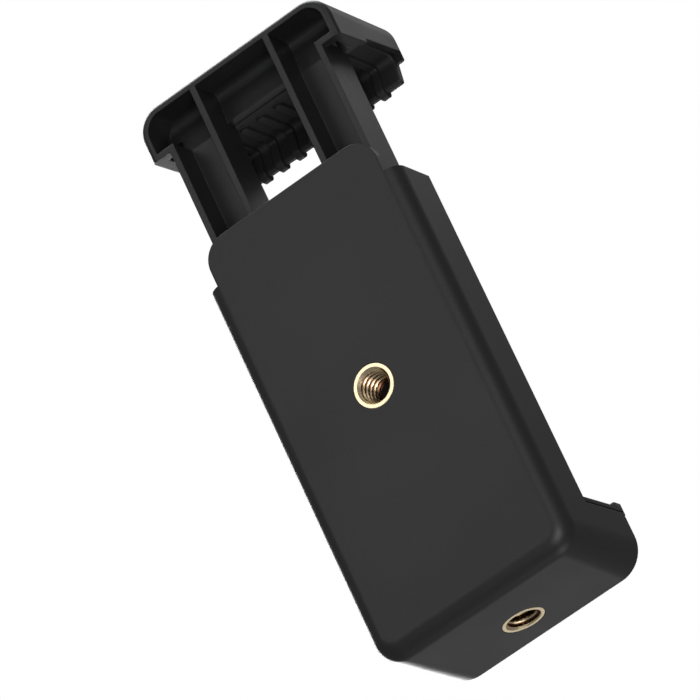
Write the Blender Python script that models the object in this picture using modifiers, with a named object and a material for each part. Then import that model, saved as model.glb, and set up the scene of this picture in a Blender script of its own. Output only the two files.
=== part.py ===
"""Tripod phone mount adapter: a spring clamp whose jaw slides up out of a moulded housing.

Metres, +Z up. The clamp stands on the flat bottom of its housing, with its back
towards -Y and its jaws towards +Y. The origin is under the middle of its
footprint. The jaw is drawn fully out, where its stop lugs meet the housing.
"""

import math

import bmesh
import bpy
from mathutils import Matrix, Vector

# Fits
SEAT_GAP = 0.0003        # between pieces that sit on or in each other
SLIDE_GAP = 0.00035      # between the sliding jaw and what guides it
REST_GAP = 0.00035       # left between the jaw and the housing when the clamp is closed

# Housing
HALF_WIDTH = 0.0211
DEPTH = 0.0265           # from the back face to the front of the jaws
BODY_DEPTH = 0.0118      # from the back face to the front edges of the side walls
BODY_TOP = 0.07715       # top of the side walls
TONGUE_RISE = 0.00785    # the back wall stands this far above the side walls
TONGUE_INSET = 0.0026
TONGUE_CORNER = 0.0048
WALL = 0.0018
FLOOR = 0.0020
EDGE_ROUND = 0.0032      # rounding between the back face and the sides
FOOT_CORNER_BACK = 0.0050
FOOT_CORNER_FRONT = 0.0056
FRONT_ROUND = 0.0009
SHELF_TOP = 0.0098       # the shelf under the lower pad, where it meets the body
SHELF_SLOPE = 0.035      # rise of the shelf towards the front, as a tangent
HOOK_DROP = 0.0006       # how far the pad's front edge hooks down over the shelf
HOOK_DEPTH = 0.0007

# Threaded inserts for a quarter inch tripod screw
INSERT_RADIUS = 0.0040
INSERT_LENGTH = 0.0080
INSERT_BORE = 0.00305
INSERT_CHAMFER = 0.0005
INSERT_WAIST = 0.0035    # radius of the groove that keys the insert in the plastic
WAIST_LENGTH = 0.0020
BOSS_WALL = 0.0010
BOSS_FLOOR = 0.0012
BACK_INSERT_Z = 0.04455
BOTTOM_INSERT_SHARE = 0.2946  # its place along the lower jaw, from the body to the front

# Sliding jaw
TRAVEL = 0.0279
HEAD_HEIGHT = 0.0094     # from the underside of its ends to its top
HEAD_CORNER = 0.0050
HEAD_WALL = 0.0015
HEAD_SLOPE = 0.052       # rise of the ends' underside towards the front, as a tangent
HEAD_STEP = 0.0008       # the underside steps up where the pad begins
HEAD_STEP_AHEAD = 0.0012     # distances ahead of the housing's body
HEAD_LIP_WALL = 0.0009   # front wall beside the pad
HEAD_LIP_DROP = 0.0003   # that wall's lower end above the underside of the ends
RIM_ROUND = 0.0010
SLOPE_WALL_LOW_AHEAD = -0.0005
SLOPE_WALL_HIGH_AHEAD = 0.0029
SETBACK = 0.0002         # small steps between the forms that make up the jaw
LEG_RECESS = 0.00305     # from the back face to the legs
LEG_INSET = 0.00395      # from the side of the head to the legs
LEG_WIDTH_SHARE = 0.45   # of the half width
LEG_WALL = 0.0012
LEG_WEB = 0.0023
LEG_CLEARANCE = 0.01205  # under the legs when the clamp is closed
GUSSET_DEPTH = 0.0005    # the legs' fronts thicken by this towards the head
GUSSET_HEIGHT = 0.0100
LUG_HEIGHT = 0.0040
CORE_RIB = 0.0012        # ribs between the pockets in the head's front part
CORE_INSET = 0.0037
CORE_TOP_WALL = 0.0020
FLOOR_OPENING_START = 0.0012     # openings in the head's floor beside the legs
FLOOR_OPENING_PAST_WEB = 0.0010
FLOOR_OPENING_WALL = 0.0011

# Rubber pads
PAD_THICKNESS = 0.00105
UPPER_PAD_BELOW = 0.0018     # the pad's face above the underside of the head's ends
LIP_THICKNESS = 0.0018
LIP_SETBACK = 0.0001     # the lips stand back from the front of the jaws
UPPER_LIP_TURN = 0.0012  # radius of the turn from a pad's face into its lip
LOWER_LIP_TURN = 0.0032
LIP_LEAN = 0.30          # the upper lip leans back as it goes down, as a tangent
LIP_CHAMFER = 0.00035
LIP_CORNER = 0.0006
UPPER_LIP_DROP = 0.0060
LOWER_LIP_RISE = 0.0045
LOWER_LIP_INSET = 0.0061         # the full height of the lower lip ends this far from the side
LOWER_LIP_FOOT_INSET = 0.0021    # and its sloping ends run out here
LOWER_TOOTH = 0.0006     # height of the low ridge beyond the lip
GROOVE_PAIRS = 4
GROOVE_MARGIN = 1.1      # from the last groove to the pad's end, in pitches
GROOVE_WIDTH = 0.0017
GROOVE_DEPTH = 0.00065
GROOVE_START = 0.17      # where the grooves begin, as a share of the flat part of a pad
GROOVE_RAMP = 0.13       # and how long they take to reach their depth

# Front cover and its screws
COVER_INSET = 0.0011
COVER_THICKNESS = 0.0018
COVER_TOP_DROP = 0.0021  # from the top of the side walls down to the cover's top
COVER_ROUND = 0.0006
RAIL_WIDTH = 0.0012
RAIL_TOP_DROP = 0.0020
GUIDE_TOP_DROP = 0.0018
SCREW_TO_LEG = 0.00345   # from a screw's axis to the leg beside it
SCREW_FROM_BOTTOM = 0.0200
SCREW_FROM_TOP = 0.0072
SCREW_BOSS_RADIUS = 0.0025
SCREW_SHANK = 0.0010
SCREW_HEAD_RADIUS = 0.0019
SCREW_HEAD_HEIGHT = 0.0009
SCREW_LENGTH = 0.0070
RECESS_WIDTH = 0.0004
RECESS_LENGTH = 0.0022
RECESS_DEPTH = 0.0005

# Springs and the pins that they hook on
SPRING_RADIUS = 0.0022   # to the middle of the wire
WIRE_RADIUS = 0.0003
SPRING_TURNS = 18
POINTS_PER_TURN = 10
HOOK_RADIUS = 0.0017
HOOK_NECK = 0.0012       # from the hook to the first coil
HOOK_POINTS = 10
PIN_RADIUS = 0.0010
PIN_SINK = 0.0011        # length of pin held in its boss
PIN_REACH = 0.0055       # length of pin outside its boss
PIN_CHAMFER = 0.0003
PIN_BOSS_RADIUS = 0.0022
PIN_BOSS_HEIGHT = 0.0008
HOUSING_PIN_Z = 0.0070
LEG_PIN_DROP = 0.0110    # from the top of the side walls down to the jaw's pins

# Rounding of curves
ARC_STEPS = 6
ROUND_STEPS = 5
CIRCLE_STEPS = 40
SMALL_CIRCLE_STEPS = 20
OVERLAP = 0.0010         # how far shapes run into each other before they are joined
ROOT = 0.0004            # the same where the wall behind is rounded
PAST = 0.0100            # how far a cutter runs past the piece that it cuts
SHARP = 0.0001           # radius that stands for a sharp corner

# Places worked out from the sizes above
BACK = -DEPTH / 2
FRONT = BACK + DEPTH
TONGUE_TOP = BODY_TOP + TONGUE_RISE
TONGUE_HALF_WIDTH = HALF_WIDTH - TONGUE_INSET
BODY_FRONT = BACK + BODY_DEPTH
INNER_BACK = BACK + WALL
INNER_HALF_WIDTH = HALF_WIDTH - WALL
LEG_BACK = BACK + LEG_RECESS
LEG_FRONT = BODY_FRONT - SEAT_GAP
LEG_OUTER = HALF_WIDTH - LEG_INSET
LEG_INNER = LEG_OUTER - LEG_WIDTH_SHARE * HALF_WIDTH
WEB_BACK = LEG_FRONT - LEG_WEB
LEG_MIDDLE = (LEG_INNER + LEG_OUTER) / 2
JAW_UNDERSIDE = BODY_TOP + REST_GAP + TRAVEL
JAW_TOP = JAW_UNDERSIDE + HEAD_HEIGHT
HEAD_FLOOR = JAW_UNDERSIDE + HEAD_WALL
LEG_BOTTOM = FLOOR + LEG_CLEARANCE + TRAVEL
LUG_TIP = INNER_HALF_WIDTH - SEAT_GAP - SLIDE_GAP
GUSSET_FRONT = LEG_FRONT + GUSSET_DEPTH
HEAD_STEP_Y = BODY_FRONT + HEAD_STEP_AHEAD
SLOPE_WALL_LOW_Y = BODY_FRONT + SLOPE_WALL_LOW_AHEAD
SLOPE_WALL_HIGH_Y = BODY_FRONT + SLOPE_WALL_HIGH_AHEAD
CORE_HALF_WIDTH = HALF_WIDTH - CORE_INSET
COVER_BACK = BODY_FRONT + SEAT_GAP
COVER_FRONT = COVER_BACK + COVER_THICKNESS
COVER_TOP = BODY_TOP - COVER_TOP_DROP
COVER_HALF_WIDTH = HALF_WIDTH - COVER_INSET
LIP_FRONT = FRONT - LIP_SETBACK
LIP_BACK = LIP_FRONT - LIP_THICKNESS
UPPER_FACE = JAW_UNDERSIDE + UPPER_PAD_BELOW
HEAD_BACK = LEG_BACK - SETBACK
UPPER_SEAT_BACK = GUSSET_FRONT + SETBACK
UPPER_PAD_BACK = UPPER_SEAT_BACK + SEAT_GAP
UPPER_PAD_FRONT = FRONT - HEAD_LIP_WALL - SEAT_GAP
UPPER_LIP_TOP = JAW_UNDERSIDE + HEAD_LIP_DROP - SEAT_GAP
UPPER_PAD_HALF_WIDTH = HALF_WIDTH - HEAD_WALL
LOWER_LIP_HALF_WIDTH = HALF_WIDTH - LOWER_LIP_INSET
LOWER_LIP_FOOT = HALF_WIDTH - LOWER_LIP_FOOT_INSET
LOWER_PAD_BACK = BODY_FRONT + SEAT_GAP
INSERT_HOLE = INSERT_RADIUS + SEAT_GAP
INSERT_POCKET = INSERT_LENGTH + SEAT_GAP
BOSS_RADIUS = INSERT_HOLE + BOSS_WALL
BOTTOM_INSERT_Y = BODY_FRONT + BOTTOM_INSERT_SHARE * (FRONT - BODY_FRONT)
SCREW_X = LEG_INNER - SCREW_TO_LEG
SPRING_Y = (LEG_BACK + WEB_BACK) / 2
LEG_PIN_Z = BODY_TOP - LEG_PIN_DROP
PIN_LENGTH = PIN_SINK + PIN_REACH
GROOVE_PITCH = UPPER_PAD_HALF_WIDTH / (GROOVE_PAIRS + GROOVE_MARGIN)
GROOVES = [index * GROOVE_PITCH for index in range(-GROOVE_PAIRS, GROOVE_PAIRS + 1)]

PART = bpy.data.collections.new("tripod_phone_mount_adapter")
TOOLS = bpy.data.collections.new("cutters")


def shelf_z(y):
    """Height of the lower jaw's shelf, which rises gently towards the front."""
    return SHELF_TOP + SHELF_SLOPE * (y - BODY_FRONT)


def lower_pad_bottom(y):
    return shelf_z(y) + SEAT_GAP


def lower_face(y):
    """Height of the lower pad's face."""
    return lower_pad_bottom(y) + PAD_THICKNESS


def head_underside(y):
    """Height of the underside of the head's ends."""
    return JAW_UNDERSIDE + HEAD_SLOPE * (y - LEG_BACK)


COVER_BOTTOM = lower_face(COVER_FRONT) + SEAT_GAP


# Making and joining shapes

def clear_scene():
    """Removes what the new file holds and adds the two collections."""
    for thing in list(bpy.data.objects):
        bpy.data.objects.remove(thing, do_unlink=True)
    bpy.context.scene.collection.children.link(PART)
    bpy.context.scene.collection.children.link(TOOLS)


def plain_material(name, colour, roughness, metallic=0.0):
    """A Principled material of one colour."""
    material = bpy.data.materials.new(name)
    material.use_nodes = True
    shader = material.node_tree.nodes["Principled BSDF"]
    shader.inputs["Base Color"].default_value = (*colour, 1.0)
    shader.inputs["Roughness"].default_value = roughness
    shader.inputs["Metallic"].default_value = metallic
    return material


def mesh_object(name, shape, collection=PART):
    """Turns a bmesh into an object and frees the bmesh."""
    bmesh.ops.recalc_face_normals(shape, faces=shape.faces)
    mesh = bpy.data.meshes.new(name)
    shape.to_mesh(mesh)
    shape.free()
    thing = bpy.data.objects.new(name, mesh)
    collection.objects.link(thing)
    return thing


def boolean(target, name, shape, operation, overlapping=False):
    """Cuts, joins or trims the target with a shape; the modifier stays on it."""
    other = mesh_object(name, shape, TOOLS)
    other.hide_render = True
    other.display_type = "WIRE"
    modifier = target.modifiers.new(name, "BOOLEAN")
    modifier.operation = operation
    modifier.object = other
    modifier.solver = "EXACT"
    modifier.use_self = overlapping
    return other


def cut(target, name, shape, overlapping=False):
    return boolean(target, name, shape, "DIFFERENCE", overlapping)


def join(target, name, shape):
    return boolean(target, name, shape, "UNION")


def trim(target, name, shape):
    return boolean(target, name, shape, "INTERSECT")


def finish(thing, material, smooth_angle=32):
    """Gives a finished piece its material and its shading."""
    thing.data.materials.append(material)
    thing.data.shade_smooth()
    thing.data.set_sharp_from_angle(angle=math.radians(smooth_angle))


def add_box(shape, low, high):
    """Adds a box between two corners, given in any order."""
    size = Vector([abs(a - b) for a, b in zip(low, high)])
    middle = (Vector(high) + Vector(low)) / 2
    placed = Matrix.Translation(middle) @ Matrix.Diagonal((*size, 1.0))
    bmesh.ops.create_cube(shape, size=1.0, matrix=placed)


def add_rod(shape, radius, start, end, steps=SMALL_CIRCLE_STEPS):
    """Adds a round rod with closed ends between two points."""
    start = Vector(start)
    end = Vector(end)
    turn = (end - start).to_track_quat("Z", "Y").to_matrix().to_4x4()
    placed = Matrix.Translation((start + end) / 2) @ turn
    bmesh.ops.create_cone(shape, cap_ends=True, segments=steps, radius1=radius, radius2=radius,
                          depth=(end - start).length, matrix=placed)


def arc(centre, radius, first_degrees, last_degrees, steps=ARC_STEPS):
    """Points of an arc in a plane, both ends included."""
    points = []
    for index in range(steps + 1):
        angle = math.radians(first_degrees + (last_degrees - first_degrees) * index / steps)
        points.append((centre[0] + radius * math.cos(angle), centre[1] + radius * math.sin(angle)))
    return points


def side_view(a, b, level):
    """Outline drawn in Y and Z, extruded along X."""
    return (level, a, b)


def back_view(a, b, level):
    """Outline drawn in X and Z, extruded along Y."""
    return (a, level, b)


def plan_view(a, b, level):
    """Outline drawn in X and Y, extruded along Z."""
    return (a, b, level)


def add_prism(shape, outline, low, high, place):
    """Adds a flat outline extruded between two levels."""
    bottom = [shape.verts.new(place(a, b, low)) for a, b in outline]
    top = [shape.verts.new(place(a, b, high)) for a, b in outline]
    shape.faces.new(bottom)
    shape.faces.new(top)
    for index in range(len(outline)):
        following = (index + 1) % len(outline)
        shape.faces.new((bottom[index], bottom[following], top[following], top[index]))


def prism(outline, low, high, place):
    shape = bmesh.new()
    add_prism(shape, outline, low, high, place)
    return shape


def rounded_outline(half_width, bottom, top, bottom_radius, top_radius):
    """A back view outline with its own radius at the foot and at the head."""
    right = arc((half_width - bottom_radius, bottom + bottom_radius), bottom_radius, -90, 0)
    right += arc((half_width - top_radius, top - top_radius), top_radius, 0, 90)
    left = [(-x, z) for x, z in reversed(right)]
    return right + left


def loft(sections):
    """Skins a row of outlines, each given as (y, outline) with as many points as the others."""
    shape = bmesh.new()
    rings = [[shape.verts.new((x, y, z)) for x, z in outline] for y, outline in sections]
    for first, second in zip(rings, rings[1:]):
        for index in range(len(first)):
            following = (index + 1) % len(first)
            shape.faces.new((first[index], first[following], second[following], second[index]))
    shape.faces.new(rings[0])
    shape.faces.new(rings[-1])
    return shape


def edge_rounding(radius, steps):
    """Depth from the face, and inset from the side, along a rounded edge."""
    places = []
    for index in range(steps + 1):
        angle = math.radians(90 * index / steps)
        places.append((radius * (1 - math.cos(angle)), radius * (1 - math.sin(angle))))
    return places


def turned(name, profile, place, rotation, steps=CIRCLE_STEPS):
    """A turned piece: the profile runs down its outer side at +X and is turned about Z."""
    shape = bmesh.new()
    corners = [shape.verts.new((radius, 0, z)) for radius, z in profile]
    for first, second in zip(corners, corners[1:]):
        shape.edges.new((first, second))
    if profile[0][0] > 0:
        shape.edges.new((corners[-1], corners[0]))
    mesh = bpy.data.meshes.new(name)
    shape.to_mesh(mesh)
    shape.free()
    thing = bpy.data.objects.new(name, mesh)
    PART.objects.link(thing)
    screw = thing.modifiers.new("turned", "SCREW")
    screw.axis = "Z"
    screw.angle = math.radians(360)
    screw.screw_offset = 0.0
    screw.steps = steps
    screw.render_steps = steps
    screw.use_merge_vertices = True
    screw.merge_threshold = 1e-6
    screw.use_normal_calculate = True
    thing.location = place
    thing.rotation_euler = rotation
    return thing


# Main housing

def housing_block():
    """The housing before it is hollowed: rounded at the back, with a rounded foot."""
    top = TONGUE_TOP + OVERLAP
    sections = []
    for depth, inset in edge_rounding(EDGE_ROUND, ROUND_STEPS):
        corner = FOOT_CORNER_BACK - inset
        sections.append((BACK + depth, rounded_outline(HALF_WIDTH - inset, inset, top, corner, SHARP)))
    outline = rounded_outline(HALF_WIDTH, 0.0, top, FOOT_CORNER_BACK, SHARP)
    sections.append((BODY_FRONT, outline))
    for depth, inset in reversed(edge_rounding(FRONT_ROUND, 3)):
        corner = FOOT_CORNER_FRONT - inset
        sections.append((FRONT - depth, rounded_outline(HALF_WIDTH - inset, inset, top, corner, SHARP)))
    return loft(sections)


def clamp_space():
    """What is cut away in front of the body, down to the shelf of the lower jaw."""
    hook = FRONT - HOOK_DEPTH
    lowered = shelf_z(hook) - HOOK_DROP - SEAT_GAP
    roof = TONGUE_TOP + PAST
    outline = [(BODY_FRONT, roof), (BODY_FRONT, SHELF_TOP), (hook, shelf_z(hook)), (hook, lowered),
               (FRONT + PAST, lowered), (FRONT + PAST, roof)]
    return prism(outline, -HALF_WIDTH - PAST, HALF_WIDTH + PAST, side_view)


def cavity_front():
    """The wall between the cavity and the lower jaw stands up to the front cover."""
    shape = bmesh.new()
    low = (-HALF_WIDTH, BODY_FRONT - WALL, SHELF_TOP - OVERLAP)
    add_box(shape, low, (HALF_WIDTH, BODY_FRONT, COVER_BOTTOM))
    return shape


def tongue_trim():
    """What is cut away round the tongue, seen from the back."""
    right = [(HALF_WIDTH + PAST, BODY_TOP), (TONGUE_HALF_WIDTH, BODY_TOP)]
    centre = (TONGUE_HALF_WIDTH - TONGUE_CORNER, TONGUE_TOP - TONGUE_CORNER)
    right += arc(centre, TONGUE_CORNER, 0, 90)
    left = [(-x, z) for x, z in reversed(right)]
    roof = [(-HALF_WIDTH - PAST, TONGUE_TOP + PAST), (HALF_WIDTH + PAST, TONGUE_TOP + PAST)]
    return prism(right + left + roof, BACK - PAST, FRONT + PAST, back_view)


def housing_cavity():
    """The hollow that the legs slide in."""
    radius = FOOT_CORNER_BACK - WALL
    outline = rounded_outline(INNER_HALF_WIDTH, FLOOR, TONGUE_TOP + PAST, radius, radius)
    return loft([(INNER_BACK, outline), (BODY_FRONT - WALL, outline)])


def front_opening():
    """The opening in the front that the cover closes."""
    shape = bmesh.new()
    side = INNER_HALF_WIDTH - SEAT_GAP
    low = (-side, LEG_BACK, COVER_BOTTOM)
    add_box(shape, low, (side, FRONT + PAST, TONGUE_TOP + PAST))
    return shape


def tongue_front():
    """Nothing stands in front of the tongue above the side walls."""
    shape = bmesh.new()
    low = (-HALF_WIDTH - PAST, INNER_BACK, BODY_TOP)
    add_box(shape, low, (HALF_WIDTH + PAST, FRONT + PAST, TONGUE_TOP + PAST))
    return shape


def shelf_pockets():
    """The pockets that core out the lower jaw from above, hidden by the pad."""
    inner = BOSS_RADIUS + WALL
    outer = HALF_WIDTH - WALL
    radius = FOOT_CORNER_FRONT - WALL
    outline = [(inner, FLOOR)] + arc((outer - radius, FLOOR + radius), radius, -90, 0)
    outline += [(outer, SHELF_TOP + PAST), (inner, SHELF_TOP + PAST)]
    shape = bmesh.new()
    for side in (1, -1):
        mirrored = [(side * x, z) for x, z in outline]
        add_prism(shape, mirrored, BODY_FRONT + SEAT_GAP, FRONT - WALL, back_view)
    return shape


def guides():
    """Walls beside the legs, which also stop their lugs, and rails behind them."""
    shape = bmesh.new()
    for side in (1, -1):
        low = (side * (LEG_OUTER + SLIDE_GAP), INNER_BACK - ROOT, LEG_BOTTOM + LUG_HEIGHT + SEAT_GAP)
        high = (side * (INNER_HALF_WIDTH + ROOT), BODY_FRONT - SEAT_GAP, BODY_TOP - GUIDE_TOP_DROP)
        add_box(shape, low, high)
        for edge in (LEG_INNER, LEG_OUTER - RAIL_WIDTH):
            low = (side * edge, INNER_BACK - OVERLAP, COVER_BOTTOM)
            high = (side * (edge + RAIL_WIDTH), LEG_BACK - SLIDE_GAP, BODY_TOP - RAIL_TOP_DROP)
            add_box(shape, low, high)
    return shape


def screw_places():
    """The four screws that hold the front cover, as (x, z)."""
    levels = (SCREW_FROM_BOTTOM, BODY_TOP - SCREW_FROM_TOP)
    return [(side * SCREW_X, z) for z in levels for side in (-1, 1)]


def housing_bosses():
    """Bosses for the back insert, the cover's screws and the pins of the springs."""
    shape = bmesh.new()
    root = INNER_BACK - OVERLAP
    end = BACK + INSERT_POCKET + BOSS_FLOOR
    add_rod(shape, BOSS_RADIUS, (0, root, BACK_INSERT_Z), (0, end, BACK_INSERT_Z), CIRCLE_STEPS)
    for x, z in screw_places():
        add_rod(shape, SCREW_BOSS_RADIUS, (x, root, z), (x, BODY_FRONT, z))
    end = INNER_BACK + PIN_BOSS_HEIGHT
    for side in (-1, 1):
        x = side * LEG_MIDDLE
        add_rod(shape, PIN_BOSS_RADIUS, (x, root, HOUSING_PIN_Z), (x, end, HOUSING_PIN_Z))
    return shape


def housing_holes():
    """Holes for both inserts, the cover's screws and the pins of the springs."""
    shape = bmesh.new()
    far = BACK + INSERT_POCKET
    add_rod(shape, INSERT_HOLE, (0, BACK - PAST, BACK_INSERT_Z), (0, far, BACK_INSERT_Z), CIRCLE_STEPS)
    start = (0, BOTTOM_INSERT_Y, -PAST)
    add_rod(shape, INSERT_HOLE, start, (0, BOTTOM_INSERT_Y, INSERT_POCKET), CIRCLE_STEPS)
    end = COVER_FRONT - SCREW_HEAD_HEIGHT - SCREW_LENGTH - SEAT_GAP
    for x, z in screw_places():
        add_rod(shape, SCREW_SHANK + SEAT_GAP, (x, end, z), (x, FRONT, z))
    start = INNER_BACK + PIN_BOSS_HEIGHT - PIN_SINK - SEAT_GAP
    for side in (-1, 1):
        x = side * LEG_MIDDLE
        add_rod(shape, PIN_RADIUS + SEAT_GAP, (x, start, HOUSING_PIN_Z), (x, LEG_FRONT, HOUSING_PIN_Z))
    return shape


def make_housing(material):
    housing = mesh_object("main_housing", housing_block())
    cut(housing, "clamp_space", clamp_space())
    join(housing, "cavity_front", cavity_front())
    cut(housing, "tongue_trim", tongue_trim())
    cut(housing, "housing_cavity", housing_cavity())
    cut(housing, "front_opening", front_opening())
    cut(housing, "tongue_front", tongue_front())
    cut(housing, "shelf_pockets", shelf_pockets())
    join(housing, "guides", guides())
    join(housing, "housing_bosses", housing_bosses())
    cut(housing, "housing_holes", housing_holes())
    finish(housing, material)


# Front cover

def cover_plate():
    """The plate in front of the legs, with rounded front edges."""
    shape = bmesh.new()
    low = (-COVER_HALF_WIDTH, COVER_BACK, COVER_BOTTOM)
    add_box(shape, low, (COVER_HALF_WIDTH, COVER_FRONT, COVER_TOP))
    rim = [edge for edge in shape.edges if all(corner.co.y > COVER_BACK + SHARP for corner in edge.verts)]
    bmesh.ops.bevel(shape, geom=rim, offset=COVER_ROUND, segments=3, profile=0.5, affect="EDGES")
    return shape


def make_cover(material):
    cover = mesh_object("front_cover", cover_plate())
    holes = bmesh.new()
    seat = COVER_FRONT - SCREW_HEAD_HEIGHT - SEAT_GAP
    for x, z in screw_places():
        add_rod(holes, SCREW_SHANK + SEAT_GAP, (x, BACK, z), (x, FRONT, z))
        add_rod(holes, SCREW_HEAD_RADIUS + SEAT_GAP, (x, seat, z), (x, FRONT + OVERLAP, z))
    cut(cover, "cover_screw_holes", holes, overlapping=True)
    finish(cover, material)


# Sliding jaw

def head_block():
    """The jaw's head before it is hollowed, with rounded top corners."""
    bottom = JAW_UNDERSIDE - OVERLAP
    sections = []
    for depth, inset in edge_rounding(RIM_ROUND, 3):
        corner = HEAD_CORNER - inset
        outline = rounded_outline(HALF_WIDTH - inset, bottom, JAW_TOP - inset, SHARP, corner)
        sections.append((HEAD_BACK + depth, outline))
    for depth, inset in reversed(edge_rounding(FRONT_ROUND, 3)):
        corner = HEAD_CORNER - inset
        outline = rounded_outline(HALF_WIDTH - inset, bottom, JAW_TOP - inset, SHARP, corner)
        sections.append((FRONT - depth, outline))
    return loft(sections)


def below_head():
    """What is cut away under the head: a slope, a step up to the pad, and the front wall's end."""
    step = HEAD_STEP_Y
    wall = FRONT - HEAD_LIP_WALL
    low = JAW_UNDERSIDE - PAST
    lip = JAW_UNDERSIDE + HEAD_LIP_DROP
    outline = [(BACK - PAST, low), (FRONT + PAST, low), (FRONT + PAST, lip), (wall, lip),
               (wall, head_underside(wall) + HEAD_STEP), (step, head_underside(step) + HEAD_STEP),
               (step, head_underside(step)), (HEAD_BACK, JAW_UNDERSIDE), (BACK - PAST, JAW_UNDERSIDE)]
    return prism(outline, -HALF_WIDTH - PAST, HALF_WIDTH + PAST, side_view)


def pad_seat():
    """The seat that the upper pad lies in."""
    shape = bmesh.new()
    side = UPPER_PAD_HALF_WIDTH + SEAT_GAP
    low = (-side, UPPER_SEAT_BACK, JAW_UNDERSIDE - PAST)
    add_box(shape, low, (side, FRONT - HEAD_LIP_WALL, UPPER_FACE + PAD_THICKNESS + SEAT_GAP))
    return shape


def between_legs():
    """The window between the legs runs up to the pad."""
    shape = bmesh.new()
    side = LEG_INNER + SETBACK
    low = (-side, BACK - PAST, JAW_UNDERSIDE - PAST)
    high = (side, UPPER_SEAT_BACK + OVERLAP, UPPER_FACE + PAD_THICKNESS + SETBACK / 2)
    add_box(shape, low, high)
    return shape


def hollow_profile():
    """Side view of the head's hollow: its front wall leans forward."""
    low = HEAD_FLOOR
    corner = UPPER_FACE + PAD_THICKNESS
    roof = JAW_TOP - HEAD_WALL + OVERLAP
    lean = (SLOPE_WALL_HIGH_Y - SLOPE_WALL_LOW_Y) / (JAW_TOP - HEAD_WALL - corner)
    far = SLOPE_WALL_HIGH_Y + lean * OVERLAP
    return [(BACK - PAST, low), (WEB_BACK - SETBACK, low), (SLOPE_WALL_LOW_Y, corner),
            (far, roof), (BACK - PAST, roof)]


def head_hollow():
    """The hollow of the head, open to the back, with rounded upper corners."""
    side = HALF_WIDTH - HEAD_WALL
    radius = HEAD_CORNER - HEAD_WALL
    outline = rounded_outline(side, HEAD_FLOOR - OVERLAP, JAW_TOP - HEAD_WALL, SHARP, radius)
    return loft([(BACK - PAST / 2, outline), (FRONT - HEAD_WALL, outline)])


def core_pockets():
    """Pockets that core out the head's front part from below, behind the pad."""
    shape = bmesh.new()
    low_y = SLOPE_WALL_HIGH_Y + HEAD_WALL
    pitch = (CORE_HALF_WIDTH + CORE_RIB / 2) / 2
    for index in range(-2, 2):
        left = index * pitch + CORE_RIB / 2
        low = (left, low_y, UPPER_FACE)
        high = (left + pitch - CORE_RIB, FRONT - HEAD_WALL, JAW_TOP - CORE_TOP_WALL)
        add_box(shape, low, high)
    return shape


def legs():
    """Both legs before their channels are cut; their fronts thicken in a hollow curve to the head."""
    top = HEAD_FLOOR - SETBACK
    bottom = JAW_UNDERSIDE - GUSSET_HEIGHT
    radius = (GUSSET_HEIGHT ** 2 + GUSSET_DEPTH ** 2) / (2 * GUSSET_DEPTH)
    sweep = math.degrees(math.asin(GUSSET_HEIGHT / radius))
    outline = [(LEG_BACK, LEG_BOTTOM), (LEG_FRONT, LEG_BOTTOM)]
    outline += arc((LEG_FRONT + radius, bottom), radius, 180, 180 - sweep)
    outline += [(GUSSET_FRONT, top), (LEG_BACK, top)]
    shape = bmesh.new()
    for side in (-1, 1):
        add_prism(shape, outline, side * LEG_INNER, side * LEG_OUTER, side_view)
    return shape


def head_ribs():
    """The legs' inner walls run on as ribs to the top of the head."""
    back = LEG_BACK + SETBACK
    low = HEAD_FLOOR - 2 * SETBACK
    roof = JAW_TOP - HEAD_WALL / 2
    corner = UPPER_FACE + PAD_THICKNESS + 2 * SEAT_GAP
    outline = [(back, low), (WEB_BACK + SETBACK, low), (SLOPE_WALL_LOW_Y + SETBACK, corner),
               (SLOPE_WALL_HIGH_Y + SETBACK, roof), (back, roof)]
    inner = LEG_INNER + SETBACK / 2
    outer = LEG_INNER + LEG_WALL - SETBACK / 2
    shape = bmesh.new()
    for side in (-1, 1):
        add_prism(shape, outline, side * inner, side * outer, side_view)
    return shape


def leg_channels():
    """The channels in the backs of the legs, which run on through the head's floor."""
    shape = bmesh.new()
    for side in (-1, 1):
        low = (side * (LEG_INNER + LEG_WALL), BACK - PAST, LEG_BOTTOM - PAST)
        add_box(shape, low, (side * (LEG_OUTER - LEG_WALL), WEB_BACK, HEAD_FLOOR + SETBACK))
    return shape


def floor_openings():
    """Openings in the head's floor, between each leg and the side wall."""
    shape = bmesh.new()
    for side in (-1, 1):
        low = (side * (LEG_OUTER + SETBACK), LEG_BACK + FLOOR_OPENING_START, JAW_UNDERSIDE - OVERLAP)
        outer = HALF_WIDTH - FLOOR_OPENING_WALL
        add_box(shape, low, (side * outer, WEB_BACK + FLOOR_OPENING_PAST_WEB, HEAD_FLOOR + OVERLAP))
    return shape


def lugs_and_bosses():
    """Lugs that stop the legs in the housing, and bosses for the springs' pins."""
    shape = bmesh.new()
    for side in (-1, 1):
        low = (side * (LEG_OUTER - LEG_WALL / 2), LEG_BACK + SETBACK, LEG_BOTTOM + SETBACK)
        high = (side * LUG_TIP, LEG_FRONT - SETBACK, LEG_BOTTOM + LUG_HEIGHT)
        add_box(shape, low, high)
        x = side * LEG_MIDDLE
        start = (x, WEB_BACK - PIN_BOSS_HEIGHT, LEG_PIN_Z)
        add_rod(shape, PIN_BOSS_RADIUS, start, (x, LEG_FRONT - LEG_WEB / 2, LEG_PIN_Z))
    return shape


def leg_pin_holes():
    shape = bmesh.new()
    end = WEB_BACK - PIN_BOSS_HEIGHT + PIN_SINK + SEAT_GAP
    for side in (-1, 1):
        x = side * LEG_MIDDLE
        add_rod(shape, PIN_RADIUS + SEAT_GAP, (x, LEG_BACK, LEG_PIN_Z), (x, end, LEG_PIN_Z))
    return shape


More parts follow.
